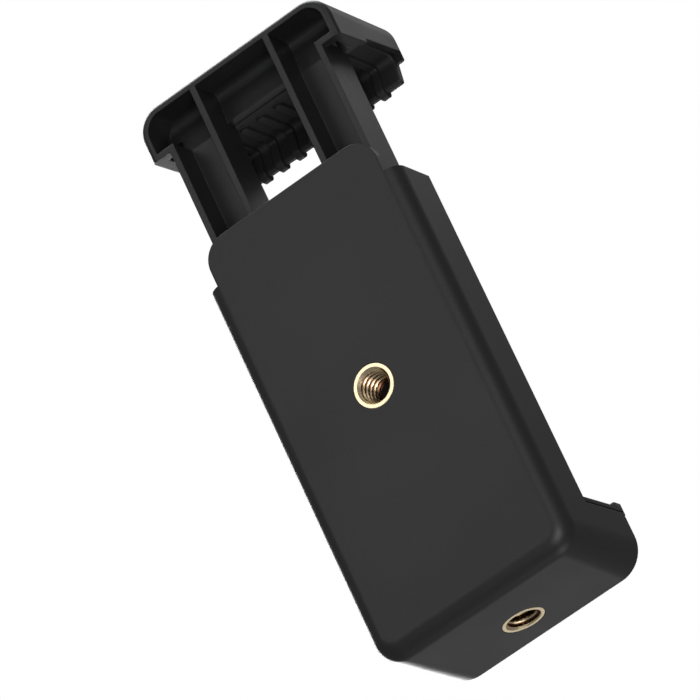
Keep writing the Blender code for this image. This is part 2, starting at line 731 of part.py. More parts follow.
def make_jaw(material):
    jaw = mesh_object("sliding_jaw", head_block())
    cut(jaw, "below_head", below_head())
    cut(jaw, "pad_seat", pad_seat())
    cut(jaw, "between_legs", between_legs())
    hollow = cut(jaw, "head_hollow", head_hollow())
    side = HALF_WIDTH + PAST
    trim(hollow, "hollow_profile", prism(hollow_profile(), -side, side, side_view))
    cut(jaw, "core_pockets", core_pockets())
    join(jaw, "legs", legs())
    join(jaw, "head_ribs", head_ribs())
    cut(jaw, "leg_channels", leg_channels())
    cut(jaw, "floor_openings", floor_openings())
    join(jaw, "lugs_and_bosses", lugs_and_bosses())
    cut(jaw, "leg_pin_holes", leg_pin_holes())
    finish(jaw, material)


# Rubber pads

def lip_inside(z, depth=0.0):
    """The leaning inner face of the upper lip, or a face that lies deeper in it."""
    slant = math.hypot(1, LIP_LEAN)
    return LIP_BACK - LIP_LEAN * (UPPER_LIP_TOP - z) + depth * slant


def upper_turn(depth=0.0):
    """The turn from the upper pad's face into its lip, drawn at a depth under the surface."""
    slant = math.hypot(1, LIP_LEAN)
    z = UPPER_FACE - UPPER_LIP_TURN
    centre = (lip_inside(z) - UPPER_LIP_TURN * slant, z)
    return arc(centre, UPPER_LIP_TURN + depth, 90, -math.degrees(math.atan(LIP_LEAN)))


def upper_pad_profile():
    """Side view of the upper pad: a sheet that turns down into a leaning lip at the front."""
    face = UPPER_FACE
    tip = face - UPPER_LIP_DROP
    inner = lip_inside(tip)
    outer = inner + LIP_THICKNESS
    outline = [(UPPER_PAD_BACK, face), (UPPER_PAD_BACK, face + PAD_THICKNESS)]
    outline += [(UPPER_PAD_FRONT, face + PAD_THICKNESS), (UPPER_PAD_FRONT, UPPER_LIP_TOP)]
    outline += [(LIP_FRONT, UPPER_LIP_TOP), (outer, tip + LIP_CHAMFER), (outer - LIP_CHAMFER, tip)]
    outline += [(inner + LIP_CHAMFER, tip), (lip_inside(tip + LIP_CHAMFER), tip + LIP_CHAMFER)]
    return outline + list(reversed(upper_turn()))


def lower_pad_profile():
    """Side view of the lower pad: a sheet that turns up into a lip and hooks over the shelf."""
    tip = lower_face(LIP_BACK) + LOWER_LIP_RISE
    hook = FRONT - HOOK_DEPTH + SEAT_GAP
    hook_bottom = lower_pad_bottom(hook) - HOOK_DROP
    start = LIP_BACK - LOWER_LIP_TURN
    outline = [(LOWER_PAD_BACK, lower_pad_bottom(LOWER_PAD_BACK)), (LOWER_PAD_BACK, lower_face(LOWER_PAD_BACK))]
    outline += arc((start, lower_face(start) + LOWER_LIP_TURN), LOWER_LIP_TURN, -90, 0)
    outline += [(LIP_BACK, tip - LIP_CHAMFER), (LIP_BACK + LIP_CHAMFER, tip)]
    outline += [(LIP_FRONT - LIP_CHAMFER, tip), (LIP_FRONT, tip - LIP_CHAMFER)]
    return outline + [(LIP_FRONT, hook_bottom), (hook, hook_bottom), (hook, lower_pad_bottom(hook))]


def add_groove_set(shape, outline):
    for x in GROOVES:
        add_prism(shape, outline, x - GROOVE_WIDTH / 2, x + GROOVE_WIDTH / 2, side_view)


def upper_grooves():
    """Grooves along the upper pad's face, down its turn and over its lip."""
    face = UPPER_FACE
    tip = face - UPPER_LIP_DROP
    flat = upper_turn()[0][0] - UPPER_PAD_BACK
    start = UPPER_PAD_BACK + GROOVE_START * flat
    ramp = start + GROOVE_RAMP * flat
    floor = tip + GROOVE_DEPTH
    outline = [(start, tip - PAST), (start, face - SHARP), (ramp, face + GROOVE_DEPTH)]
    outline += upper_turn(GROOVE_DEPTH)
    outline += [(lip_inside(floor, GROOVE_DEPTH), floor), (FRONT + PAST, floor)]
    shape = bmesh.new()
    add_groove_set(shape, outline + [(FRONT + PAST, tip - PAST)])
    return shape


def lower_grooves():
    """Grooves along the lower pad's face, up its turn and over its lip."""
    tip = lower_face(LIP_BACK) + LOWER_LIP_RISE
    turn_y = LIP_BACK - LOWER_LIP_TURN
    flat = turn_y - COVER_FRONT
    start = COVER_FRONT + GROOVE_START * flat
    ramp = start + GROOVE_RAMP * flat
    outline = [(start, tip + PAST), (start, lower_face(start) + SHARP), (ramp, lower_face(ramp) - GROOVE_DEPTH)]
    outline += arc((turn_y, lower_face(turn_y) + LOWER_LIP_TURN), LOWER_LIP_TURN + GROOVE_DEPTH, -90, 0)
    outline += [(LIP_BACK + GROOVE_DEPTH, tip - GROOVE_DEPTH), (FRONT + PAST, tip - GROOVE_DEPTH)]
    shape = bmesh.new()
    add_groove_set(shape, outline + [(FRONT + PAST, tip + PAST)])
    return shape


def lip_corners():
    """The upper lip's chamfered lower corners, seen from the back."""
    tip = UPPER_FACE - UPPER_LIP_DROP
    outer = UPPER_PAD_HALF_WIDTH
    corner = [(outer + OVERLAP, tip - OVERLAP), (outer + OVERLAP, tip + LIP_CORNER + OVERLAP)]
    corner += [(outer, tip + LIP_CORNER), (outer - LIP_CORNER, tip), (outer - LIP_CORNER - OVERLAP, tip - OVERLAP)]
    shape = bmesh.new()
    for side in (-1, 1):
        add_prism(shape, [(side * x, z) for x, z in corner], LIP_BACK - OVERLAP, FRONT + OVERLAP, back_view)
    return shape


def lower_lip_ends():
    """Above this line the lower lip is cut away towards its ends."""
    face = lower_face(LIP_BACK)
    low = face + LOWER_TOOTH
    tip = face + LOWER_LIP_RISE
    outer = HALF_WIDTH + PAST
    corner = [(LOWER_LIP_HALF_WIDTH - OVERLAP, tip + OVERLAP), (LOWER_LIP_HALF_WIDTH, tip)]
    corner += [(LOWER_LIP_FOOT, low), (outer, low), (outer, tip + OVERLAP)]
    shape = bmesh.new()
    for side in (-1, 1):
        add_prism(shape, [(side * x, z) for x, z in corner], COVER_FRONT, FRONT + OVERLAP, back_view)
    return shape


def make_pads(material):
    width = UPPER_PAD_HALF_WIDTH
    upper = mesh_object("upper_pad", prism(upper_pad_profile(), -width, width, side_view))
    cut(upper, "upper_grooves", upper_grooves())
    cut(upper, "lip_corners", lip_corners())
    finish(upper, material)
    width = HALF_WIDTH
    lower = mesh_object("lower_pad", prism(lower_pad_profile(), -width, width, side_view))
    cut(lower, "lower_lip_ends", lower_lip_ends())
    cut(lower, "lower_grooves", lower_grooves())
    finish(lower, material)


# Metal pieces

def make_inserts(material):
    """Two turned brass inserts, the same size."""
    half = INSERT_LENGTH / 2
    waist = WAIST_LENGTH / 2
    slope = INSERT_RADIUS - INSERT_WAIST
    outer = [(INSERT_RADIUS, half), (INSERT_RADIUS, waist + slope), (INSERT_WAIST, waist)]
    outer += [(radius, -z) for radius, z in reversed(outer)]
    bore = [(INSERT_BORE + INSERT_CHAMFER, -half), (INSERT_BORE, INSERT_CHAMFER - half)]
    bore += [(radius, -z) for radius, z in reversed(bore)]
    to_back = (math.radians(90), 0, 0)
    back = turned("back_insert", outer + bore, (0, BACK + half, BACK_INSERT_Z), to_back)
    bottom = turned("bottom_insert", outer + bore, (0, BOTTOM_INSERT_Y, half), (0, 0, 0))
    finish(back, material)
    finish(bottom, material)


def make_pins(material):
    """Four steel pins: two in the housing's floor end, two in the legs."""
    low = [(0, PIN_LENGTH), (PIN_RADIUS - PIN_CHAMFER, PIN_LENGTH), (PIN_RADIUS, PIN_LENGTH - PIN_CHAMFER)]
    profile = low + [(PIN_RADIUS, PIN_CHAMFER), (PIN_RADIUS - PIN_CHAMFER, 0), (0, 0)]
    housing_root = INNER_BACK + PIN_BOSS_HEIGHT - PIN_SINK
    leg_root = WEB_BACK - PIN_BOSS_HEIGHT + PIN_SINK
    forward = (math.radians(-90), 0, 0)
    backward = (math.radians(90), 0, 0)
    for side, word in ((-1, "left"), (1, "right")):
        x = side * LEG_MIDDLE
        pin = turned(f"{word}_housing_pin", profile, (x, housing_root, HOUSING_PIN_Z), forward, SMALL_CIRCLE_STEPS)
        finish(pin, material)
        pin = turned(f"{word}_leg_pin", profile, (x, leg_root, LEG_PIN_Z), backward, SMALL_CIRCLE_STEPS)
        finish(pin, material)


def make_screws(material):
    """The four cover screws, with cross recesses."""
    names = ("lower_left_screw", "lower_right_screw", "upper_left_screw", "upper_right_screw")
    edge = SCREW_HEAD_HEIGHT / 3
    profile = [(0, 0), (SCREW_HEAD_RADIUS - edge, 0), (SCREW_HEAD_RADIUS, -edge)]
    profile += [(SCREW_HEAD_RADIUS, -SCREW_HEAD_HEIGHT), (SCREW_SHANK, -SCREW_HEAD_HEIGHT)]
    end = -SCREW_HEAD_HEIGHT - SCREW_LENGTH
    profile += [(SCREW_SHANK, end + SCREW_SHANK), (SCREW_SHANK / 2, end), (0, end)]
    to_front = (math.radians(-90), 0, 0)
    for name, (x, z) in zip(names, screw_places()):
        screw = turned(name, profile, (x, COVER_FRONT, z), to_front, SMALL_CIRCLE_STEPS)
        recess = bmesh.new()
        for wide, tall in ((RECESS_LENGTH, RECESS_WIDTH), (RECESS_WIDTH, RECESS_LENGTH)):
            low = (x - wide / 2, COVER_FRONT - RECESS_DEPTH, z - tall / 2)
            add_box(recess, low, (x + wide / 2, COVER_FRONT + OVERLAP, z + tall / 2))
        cut(screw, f"{name}_recess", recess, overlapping=True)
        finish(screw, material)


# Springs

def hook_points(x, z, up):
    """A hook round a pin, ending on the spring's axis; up is 1 under the coils, -1 over them."""
    points = []
    for index in range(HOOK_POINTS + 1):
        angle = math.radians(50 + (360 - 50) * index / HOOK_POINTS)
        points.append(Vector((x + HOOK_RADIUS * math.sin(angle), SPRING_Y, z + up * HOOK_RADIUS * math.cos(angle))))
    return points


def coil_points(x, low, high):
    """The coils, which grow out of the axis and run back to it over half a turn."""
    points = []
    count = SPRING_TURNS * POINTS_PER_TURN
    ease = POINTS_PER_TURN / 2
    for index in range(1, count):
        grown = min(1.0, index / ease, (count - index) / ease)
        angle = math.radians(360) * index / POINTS_PER_TURN
        z = low + (high - low) * index / count
        radius = SPRING_RADIUS * grown
        points.append(Vector((x + radius * math.cos(angle), SPRING_Y + radius * math.sin(angle), z)))
    return points


def make_springs(material):
    """Two tension springs, one in each leg's channel, with a hook at each end."""
    for side, word in ((-1, "left"), (1, "right")):
        x = side * LEG_MIDDLE
        low = HOUSING_PIN_Z + HOOK_RADIUS + HOOK_NECK
        high = LEG_PIN_Z - HOOK_RADIUS - HOOK_NECK
        points = hook_points(x, HOUSING_PIN_Z, 1) + coil_points(x, low, high)
        points += list(reversed(hook_points(x, LEG_PIN_Z, -1)))
        curve = bpy.data.curves.new(f"{word}_spring", "CURVE")
        curve.dimensions = "3D"
        curve.bevel_depth = WIRE_RADIUS
        curve.bevel_resolution = 2
        curve.use_fill_caps = True
        wire = curve.splines.new("POLY")
        wire.points.add(len(points) - 1)
        for point, place in zip(wire.points, points):
            point.co = (*place, 1.0)
        wire.use_smooth = True
        curve.materials.append(material)
        spring = bpy.data.objects.new(f"{word}_spring", curve)
        PART.objects.link(spring)


def main():
    clear_scene()
    plastic = plain_material("black_plastic", (0.028, 0.028, 0.030), 0.45)
    rubber = plain_material("black_rubber", (0.022, 0.022, 0.023), 0.75)
    brass = plain_material("brass", (0.80, 0.55, 0.26), 0.28, 1.0)
    steel = plain_material("spring_steel", (0.56, 0.57, 0.58), 0.30, 1.0)
    dark_steel = plain_material("blackened_steel", (0.10, 0.10, 0.11), 0.40, 1.0)
    make_housing(plastic)
    make_cover(plastic)
    make_jaw(plastic)
    make_pads(rubber)
    make_inserts(brass)
    make_pins(steel)
    make_screws(dark_steel)
    make_springs(steel)


main()
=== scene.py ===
# %% [markdown]
# This lesson dresses a tripod phone clamp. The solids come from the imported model, which is loaded
# as a fixed frame: nothing in it is moved. Pieces that need finer shapes are made again here, in
# the same place and in metres, and each one replaces its solid.

# %% Load the frame
import math

import bmesh
import bpy
from mathutils import Matrix, Vector


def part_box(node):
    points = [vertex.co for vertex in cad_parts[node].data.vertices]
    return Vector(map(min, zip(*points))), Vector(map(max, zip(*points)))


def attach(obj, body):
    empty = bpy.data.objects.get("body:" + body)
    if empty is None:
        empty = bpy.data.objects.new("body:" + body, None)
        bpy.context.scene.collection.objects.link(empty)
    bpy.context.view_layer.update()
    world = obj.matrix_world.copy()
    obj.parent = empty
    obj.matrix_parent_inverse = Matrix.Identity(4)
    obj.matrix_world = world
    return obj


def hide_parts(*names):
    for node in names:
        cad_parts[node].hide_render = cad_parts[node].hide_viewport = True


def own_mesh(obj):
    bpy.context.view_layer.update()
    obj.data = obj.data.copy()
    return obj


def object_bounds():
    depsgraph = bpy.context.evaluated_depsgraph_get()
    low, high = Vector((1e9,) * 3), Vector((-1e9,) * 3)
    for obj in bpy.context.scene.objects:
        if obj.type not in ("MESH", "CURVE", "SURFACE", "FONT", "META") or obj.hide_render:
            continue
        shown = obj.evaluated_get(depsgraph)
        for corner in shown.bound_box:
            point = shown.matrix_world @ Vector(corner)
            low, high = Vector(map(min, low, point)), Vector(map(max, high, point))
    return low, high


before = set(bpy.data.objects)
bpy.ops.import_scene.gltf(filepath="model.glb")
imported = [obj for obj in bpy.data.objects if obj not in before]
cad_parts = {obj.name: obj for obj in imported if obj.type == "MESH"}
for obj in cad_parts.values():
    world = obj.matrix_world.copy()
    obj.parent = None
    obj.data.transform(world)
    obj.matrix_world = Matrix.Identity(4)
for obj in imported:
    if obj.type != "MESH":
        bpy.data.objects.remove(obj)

cad_bounds = [list(corner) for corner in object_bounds()]
low, high = cad_bounds
print("clamp, mm:", [round((b - a) * 1000, 1) for a, b in zip(low, high)])

# %% [markdown]
# The camera stands low and to the right of the clamp's back, a long way off, so that its edges stay
# nearly parallel. It is turned about its own axis as well, which makes the upright clamp lean in the
# picture. A camera can be aimed with a constraint, but a matrix of its three axes holds the roll too.

# %% Camera
CAMERA_AZIMUTH = math.radians(22.19)
CAMERA_HEIGHT = math.radians(-24.13)
CAMERA_ROLL = math.radians(25.19)
CAMERA_DISTANCE = 1.2695
CAMERA_LENS = 383.7
CAMERA_TARGET = Vector((0.0, -0.01607, 0.05125))


def place_camera():
    """Aims a long lens at the clamp's back from below and to the right."""
    flat = math.cos(CAMERA_HEIGHT)
    back = Vector((math.sin(CAMERA_AZIMUTH) * flat, -math.cos(CAMERA_AZIMUTH) * flat,
                   math.sin(CAMERA_HEIGHT)))
    level = Vector((math.cos(CAMERA_AZIMUTH), math.sin(CAMERA_AZIMUTH), 0.0))
    upright = back.cross(level)
    right = math.cos(CAMERA_ROLL) * level - math.sin(CAMERA_ROLL) * upright
    up = math.sin(CAMERA_ROLL) * level + math.cos(CAMERA_ROLL) * upright
    data = bpy.data.cameras.new("camera")
    data.lens = CAMERA_LENS
    data.sensor_width = 36.0
    data.clip_end = 20.0
    camera = bpy.data.objects.new("camera", data)
    bpy.context.scene.collection.objects.link(camera)
    matrix = Matrix((right, up, back)).transposed().to_4x4()
    matrix.translation = CAMERA_TARGET + back * CAMERA_DISTANCE
    camera.matrix_world = matrix
    bpy.context.scene.camera = camera
    return camera


camera = place_camera()
print("camera at, mm:", [round(v * 1000) for v in camera.matrix_world.translation])

# %% [markdown]
# The housing and the sliding jaw are moulded plastic with a fine spark texture: matt, even and dark,
# with a soft sheen along the rounded edges. The texture could be modelled, but at a fraction of a
# tenth of a millimetre it is better as a bump. It is a node group, because the plastic, the rubber
# and the metals all use it, each with its own scale and depth.

# %% Grain group
def new_group(name, inputs, outputs):
    """An empty node group; inputs and outputs are (name, socket type, default) rows."""
    group = bpy.data.node_groups.new(name, "ShaderNodeTree")
    for label, kind, value in inputs:
        socket = group.interface.new_socket(name=label, in_out="INPUT", socket_type=kind)
        socket.default_value = value
    for label, kind in outputs:
        group.interface.new_socket(name=label, in_out="OUTPUT", socket_type=kind)
    return group, group.nodes.new("NodeGroupInput"), group.nodes.new("NodeGroupOutput")


FLOAT = "NodeSocketFloat"
VECTOR = "NodeSocketVector"


def grain_group():
    """Moulded grain: a height for bump, a mask of slow change and one of fine specks."""
    inputs = [("Grains per metre", FLOAT, 4000.0), ("Patches per metre", FLOAT, 60.0)]
    outputs = [("Height", FLOAT), ("Patch", FLOAT), ("Speck", FLOAT)]
    group, start, end = new_group("moulded_grain", inputs, outputs)
    place = group.nodes.new("ShaderNodeTexCoord")
    fine = group.nodes.new("ShaderNodeTexNoise")
    fine.inputs["Detail"].default_value = 2.0
    fine.inputs["Roughness"].default_value = 0.6
    slow = group.nodes.new("ShaderNodeTexNoise")
    slow.inputs["Detail"].default_value = 3.0
    speck = group.nodes.new("ShaderNodeMapRange")
    speck.inputs["From Min"].default_value = 0.35
    speck.inputs["From Max"].default_value = 0.65
    link = group.links.new
    link(place.outputs["Object"], fine.inputs["Vector"])
    link(place.outputs["Object"], slow.inputs["Vector"])
    link(start.outputs["Grains per metre"], fine.inputs["Scale"])
    link(start.outputs["Patches per metre"], slow.inputs["Scale"])
    link(fine.outputs["Fac"], speck.inputs["Value"])
    link(fine.outputs["Fac"], end.inputs["Height"])
    link(slow.outputs["Fac"], end.inputs["Patch"])
    link(speck.outputs["Result"], end.inputs["Speck"])
    return group


GRAIN = grain_group()
print("grain group sockets:", len(GRAIN.interface.items_tree))

# %% [markdown]
# No moulded edge is quite sharp: each has a small radius that catches the light. The radius could be
# modelled on every edge, but the Bevel node rounds the shading normal instead, at no cost in faces. The
# group gives that rounded normal, and the difference to the true one as a mask for a slightly lighter rim,
# which is a painted highlight along the edges.

# %% Edge group with a painted highlight
def edge_group():
    """A normal that is rounded over the edges, and a mask that is high on them."""
    inputs = [("Radius", FLOAT, 0.0004), ("Strength", FLOAT, 6.0)]
    group, start, end = new_group("rounded_edges", inputs, [("Mask", FLOAT), ("Normal", VECTOR)])
    rounded = group.nodes.new("ShaderNodeBevel")
    rounded.samples = 4
    true = group.nodes.new("ShaderNodeNewGeometry")
    dot = group.nodes.new("ShaderNodeVectorMath")
    dot.operation = "DOT_PRODUCT"
    turned_away = group.nodes.new("ShaderNodeMath")
    turned_away.operation = "SUBTRACT"
    turned_away.inputs[0].default_value = 1.0
    stronger = group.nodes.new("ShaderNodeMath")
    stronger.operation = "MULTIPLY"
    stronger.use_clamp = True
    link = group.links.new
    link(start.outputs["Radius"], rounded.inputs["Radius"])
    link(rounded.outputs["Normal"], dot.inputs[0])
    link(true.outputs["Normal"], dot.inputs[1])
    link(dot.outputs["Value"], turned_away.inputs[1])
    link(turned_away.outputs[0], stronger.inputs[0])
    link(start.outputs["Strength"], stronger.inputs[1])
    link(stronger.outputs[0], end.inputs["Mask"])
    link(rounded.outputs["Normal"], end.inputs["Normal"])
    return group


EDGES = edge_group()
print("edge group nodes:", len(EDGES.nodes))

# %% [markdown]
# Every material below is a Principled shader with the grain mixed into its colour and roughness, and
# into its bump where it can be felt. Only the plastic has the edge group as well. What stays the same
# over the whole surface is set on the shader's own sockets.

# %% Material helper
def shader_material(name, roughness, metallic=0.0, specular=0.5):
    material = bpy.data.materials.new(name)
    material.use_nodes = True
    shader = material.node_tree.nodes["Principled BSDF"]
    shader.inputs["Roughness"].default_value = roughness
    shader.inputs["Metallic"].default_value = metallic
    shader.inputs["Specular IOR Level"].default_value = specular
    return material, shader


def use_group(material, group, **values):
    node = material.node_tree.nodes.new("ShaderNodeGroup")
    node.node_tree = group
    for label, value in values.items():
        node.inputs[label.replace("_", " ")].default_value = value
    return node


def mixed_colour(material, mask, first, second):
    """A colour that runs from the first to the second with a mask; the first may come from a node."""
    mix = material.node_tree.nodes.new("ShaderNodeMix")
    mix.data_type = "RGBA"
    if isinstance(first, tuple):
        mix.inputs["A"].default_value = (*first, 1.0)
    else:
        material.node_tree.links.new(first, mix.inputs["A"])
    mix.inputs["B"].default_value = (*second, 1.0)
    material.node_tree.links.new(mask, mix.inputs["Factor"])
    return mix.outputs["Result"]


def stored_mask(material, layer):
    """A number that the mesh code stored in the corners."""
    node = material.node_tree.nodes.new("ShaderNodeAttribute")
    node.attribute_name = layer
    return node.outputs["Fac"]


def ranged(material, mask, low_value, high_value):
    """A number that runs between two values with a mask."""
    node = material.node_tree.nodes.new("ShaderNodeMapRange")
    node.inputs["To Min"].default_value = low_value
    node.inputs["To Max"].default_value = high_value
    material.node_tree.links.new(mask, node.inputs["Value"])
    return node.outputs["Result"]


def bumped(material, height, strength, distance, normal=None):
    """A normal from a height, on top of another normal if one is given."""
    node = material.node_tree.nodes.new("ShaderNodeBump")
    node.inputs["Strength"].default_value = strength
    node.inputs["Distance"].default_value = distance
    material.node_tree.links.new(height, node.inputs["Height"])
    if normal is not None:
        material.node_tree.links.new(normal, node.inputs["Normal"])
    return node.outputs["Normal"]


# %% [markdown]
# The plastic is nearly black, with a painted highlight that makes it a little lighter on its edges. Its
# roughness changes slowly from place to place, as moulded plastic's does where the melt met the steel
# differently.

# %% Moulded plastic
PLASTIC_DARK = (0.019, 0.019, 0.020)
PLASTIC_LIGHT = (0.027, 0.027, 0.028)
# The lighter grey of the painted highlight on the edges.
PLASTIC_EDGE_HIGHLIGHT = (0.055, 0.055, 0.057)


def moulded_plastic():
    material, shader = shader_material("moulded_black_plastic", 0.5, specular=0.45)
    link = material.node_tree.links.new
    grain = use_group(material, GRAIN, Grains_per_metre=5200.0, Patches_per_metre=45.0)
    edges = use_group(material, EDGES, Radius=0.00025, Strength=1.6)
    body = mixed_colour(material, grain.outputs["Speck"], PLASTIC_DARK, PLASTIC_LIGHT)
    # Painted highlight: the edge mask lifts the colour to a lighter grey on every edge.
    edge_highlighted = mixed_colour(material, edges.outputs["Mask"], body, PLASTIC_EDGE_HIGHLIGHT)
    link(edge_highlighted, shader.inputs["Base Color"])
    link(ranged(material, grain.outputs["Patch"], 0.36, 0.48), shader.inputs["Roughness"])
    normal = bumped(material, grain.outputs["Height"], 0.35, 0.00006, edges.outputs["Normal"])
    link(normal, shader.inputs["Normal"])
    return material


plastic = moulded_plastic()
print(plastic.name, "has", len(plastic.node_tree.nodes), "nodes")

# %% [markdown]
# The pads are soft rubber with a coarser, softer grain than the plastic. Their black is a little
# lighter, but the steep flanks of the ribs are duller and painted darker, as painted shade. The pad's
# mesh code knows where the flanks are and stores them in its corners, for this material to read.

# %% Rubber
RUBBER_DARK = (0.026, 0.026, 0.027)
RUBBER_LIGHT = (0.040, 0.040, 0.041)
# Painted shade for the ribs' steep flanks.
FLANK_PAINTED_SHADE = (0.004, 0.004, 0.004)
FLANK_ROUGHER = 0.40       # how much is added to the roughness on the ribs' flanks


def pad_rubber():
    material, shader = shader_material("soft_black_rubber", 0.55, specular=0.38)
    link = material.node_tree.links.new
    grain = use_group(material, GRAIN, Grains_per_metre=3000.0, Patches_per_metre=120.0)
    base_tone = mixed_colour(material, grain.outputs["Patch"], RUBBER_DARK, RUBBER_LIGHT)
    flank = stored_mask(material, "flank")
    # Painted shade: the ribs' steep flanks are darkened nearly to black.
    link(mixed_colour(material, flank, base_tone, FLANK_PAINTED_SHADE), shader.inputs["Base Color"])
    rough = material.node_tree.nodes.new("ShaderNodeMath")
    rough.operation = "MULTIPLY_ADD"
    rough.use_clamp = True
    rough.inputs[1].default_value = FLANK_ROUGHER
    link(flank, rough.inputs[0])
    link(ranged(material, grain.outputs["Patch"], 0.42, 0.58), rough.inputs[2])
    link(rough.outputs[0], shader.inputs["Roughness"])
    link(bumped(material, grain.outputs["Height"], 0.3, 0.00005), shader.inputs["Normal"])
    return material


rubber = pad_rubber()
print(rubber.name, "has", len(rubber.node_tree.nodes), "nodes")

# %% [markdown]
# The inserts are turned brass, bright and pale on their rings and on the thread's crests. Their colour
# is darker brown in the thread's roots, and deep in the bore it is painted shade. A cavity map could find
# the roots, but the thread's mesh code knows them: it stores in each corner how dark the colour is there,
# and the material reads that attribute.

# %% Brass
BRASS_DARK = (0.90, 0.72, 0.44)
BRASS_LIGHT = (0.95, 0.80, 0.54)
DARK_ROOTS_AND_BORE_SHADE = (0.10, 0.035, 0.015)


def turned_brass():
    material, shader = shader_material("turned_brass", 0.25, metallic=1.0)
    link = material.node_tree.links.new
    grain = use_group(material, GRAIN, Grains_per_metre=2500.0, Patches_per_metre=300.0)
    base_tone = mixed_colour(material, grain.outputs["Patch"], BRASS_DARK, BRASS_LIGHT)
    # Darker in the thread's roots, and painted shade deep in the bore.
    darkened = mixed_colour(material, stored_mask(material, "dark_roots_and_bore_shade"), base_tone, DARK_ROOTS_AND_BORE_SHADE)
    link(darkened, shader.inputs["Base Color"])
    link(ranged(material, grain.outputs["Speck"], 0.24, 0.32), shader.inputs["Roughness"])
    link(bumped(material, grain.outputs["Height"], 0.06, 0.00002), shader.inputs["Normal"])
    return material


brass = turned_brass()
print(brass.name, "has", len(brass.node_tree.nodes), "nodes")

# %% [markdown]
# Only little steel is seen: the springs' wire and the pins behind the legs, and the black screws in
# the cover. Both kinds are metal with a drawn or turned skin, so one helper makes them, and the grain
# group changes their colour in broad patches and their roughness in fine specks.

# %% Steel
def drawn_steel(name, colour, lighter, roughness):
    material, shader = shader_material(name, roughness, metallic=1.0)
    link = material.node_tree.links.new
    grain = use_group(material, GRAIN, Grains_per_metre=2500.0, Patches_per_metre=500.0)
    link(mixed_colour(material, grain.outputs["Patch"], colour, lighter), shader.inputs["Base Color"])
    rough = ranged(material, grain.outputs["Speck"], roughness - 0.06, roughness + 0.08)
    link(rough, shader.inputs["Roughness"])
    return material


spring_steel = drawn_steel("spring_steel_wire", (0.46, 0.47, 0.48), (0.62, 0.63, 0.64), 0.30)
black_steel = drawn_steel("blackened_screw_steel", (0.05, 0.05, 0.055), (0.09, 0.09, 0.095), 0.42)
print("materials:", [m.name for m in bpy.data.materials])

# %% [markdown]
# The mouldings are made the way a mould maker thinks of them: a full block with its rounded edges,
# then everything that isn't there is cut away, and ribs and bosses are joined on. Subdivision
# surfaces are another way to get round edges, but sections skinned into a loft keep the flats truly
# flat and put each rounding exactly where it belongs. First come the outlines and simple shapes.

# %% Outlines and shapes
ARC_STEPS = 14
ROUND_STEPS = 10
PAST = 0.0100      # how far a cutter runs past what it cuts
OVERLAP = 0.0010   # how far shapes run into each other before they are joined
SHARP = 0.0001     # radius that stands for a sharp corner


def box_shape(shape, low, high):
    """Adds a box between two corners, given in any order."""
    size = Vector([abs(a - b) for a, b in zip(low, high)])
    middle = (Vector(high) + Vector(low)) / 2
    placed = Matrix.Translation(middle) @ Matrix.Diagonal((*size, 1.0))
    bmesh.ops.create_cube(shape, size=1.0, matrix=placed)


def single_box(low, high):
    """A shape of its own with one box in it."""
    shape = bmesh.new()
    box_shape(shape, low, high)
    return shape


def rod_shape(shape, radius, start, end, steps=64):
    start, end = Vector(start), Vector(end)
    turn = (end - start).to_track_quat("Z", "Y").to_matrix().to_4x4()
    placed = Matrix.Translation((start + end) / 2) @ turn
    bmesh.ops.create_cone(shape, cap_ends=True, segments=steps, radius1=radius, radius2=radius,
                          depth=(end - start).length, matrix=placed)


def arc(centre, radius, first_degrees, last_degrees, steps=ARC_STEPS):
    points = []
    for index in range(steps + 1):
        angle = math.radians(first_degrees + (last_degrees - first_degrees) * index / steps)
        points.append((centre[0] + radius * math.cos(angle), centre[1] + radius * math.sin(angle)))
    return points


def side_view(a, b, level):
    """An outline drawn in Y and Z, extruded along X."""
    return (level, a, b)


def back_view(a, b, level):
    """An outline drawn in X and Z, extruded along Y."""
    return (a, level, b)


def skin(shape, first, second):
    """Faces between two closed rings with as many corners."""
    for index in range(len(first)):
        following = (index + 1) % len(first)
        shape.faces.new((first[index], first[following], second[following], second[index]))


def add_prism(shape, outline, low, high, place):
    bottom = [shape.verts.new(place(a, b, low)) for a, b in outline]
    top = [shape.verts.new(place(a, b, high)) for a, b in outline]
    shape.faces.new(bottom)
    shape.faces.new(top)
    skin(shape, bottom, top)


def prism(outline, low, high, place):
    shape = bmesh.new()
    add_prism(shape, outline, low, high, place)
    return shape


print("quarter circles have", ARC_STEPS, "steps")

# %% [markdown]
# A loft skins a row of outlines. Where the outlines shrink along a quarter circle, the block gets a
# rounded edge with the same radius all the way round, which is how the clamp's back meets its sides.

# %% Lofts
def rounded_outline(half_width, bottom, top, bottom_radius, top_radius):
    right = arc((half_width - bottom_radius, bottom + bottom_radius), bottom_radius, -90, 0)
    right += arc((half_width - top_radius, top - top_radius), top_radius, 0, 90)
    return right + [(-x, z) for x, z in reversed(right)]


def loft(sections):
    """Skins outlines given as (y, outline), each with as many points as the others."""
    shape = bmesh.new()
    rings = [[shape.verts.new((x, y, z)) for x, z in outline] for y, outline in sections]
    for first, second in zip(rings, rings[1:]):
        skin(shape, first, second)
    shape.faces.new(rings[0])
    shape.faces.new(rings[-1])
    return shape


def edge_rounding(radius, steps=ROUND_STEPS):
    """Depth from the face, and inset from the side, along a rounded edge."""
    angles = [math.radians(90 * index / steps) for index in range(steps + 1)]
    return [(radius * (1 - math.cos(angle)), radius * (1 - math.sin(angle))) for angle in angles]


print("rounded edges have", ROUND_STEPS, "steps")

# %% [markdown]
# Booleans do the cutting and joining. Each one is applied at once here, so that the next step works
# on a plain mesh and its face count can be printed. Leaving them as live modifiers would also work,
# and is better while the sizes still change.

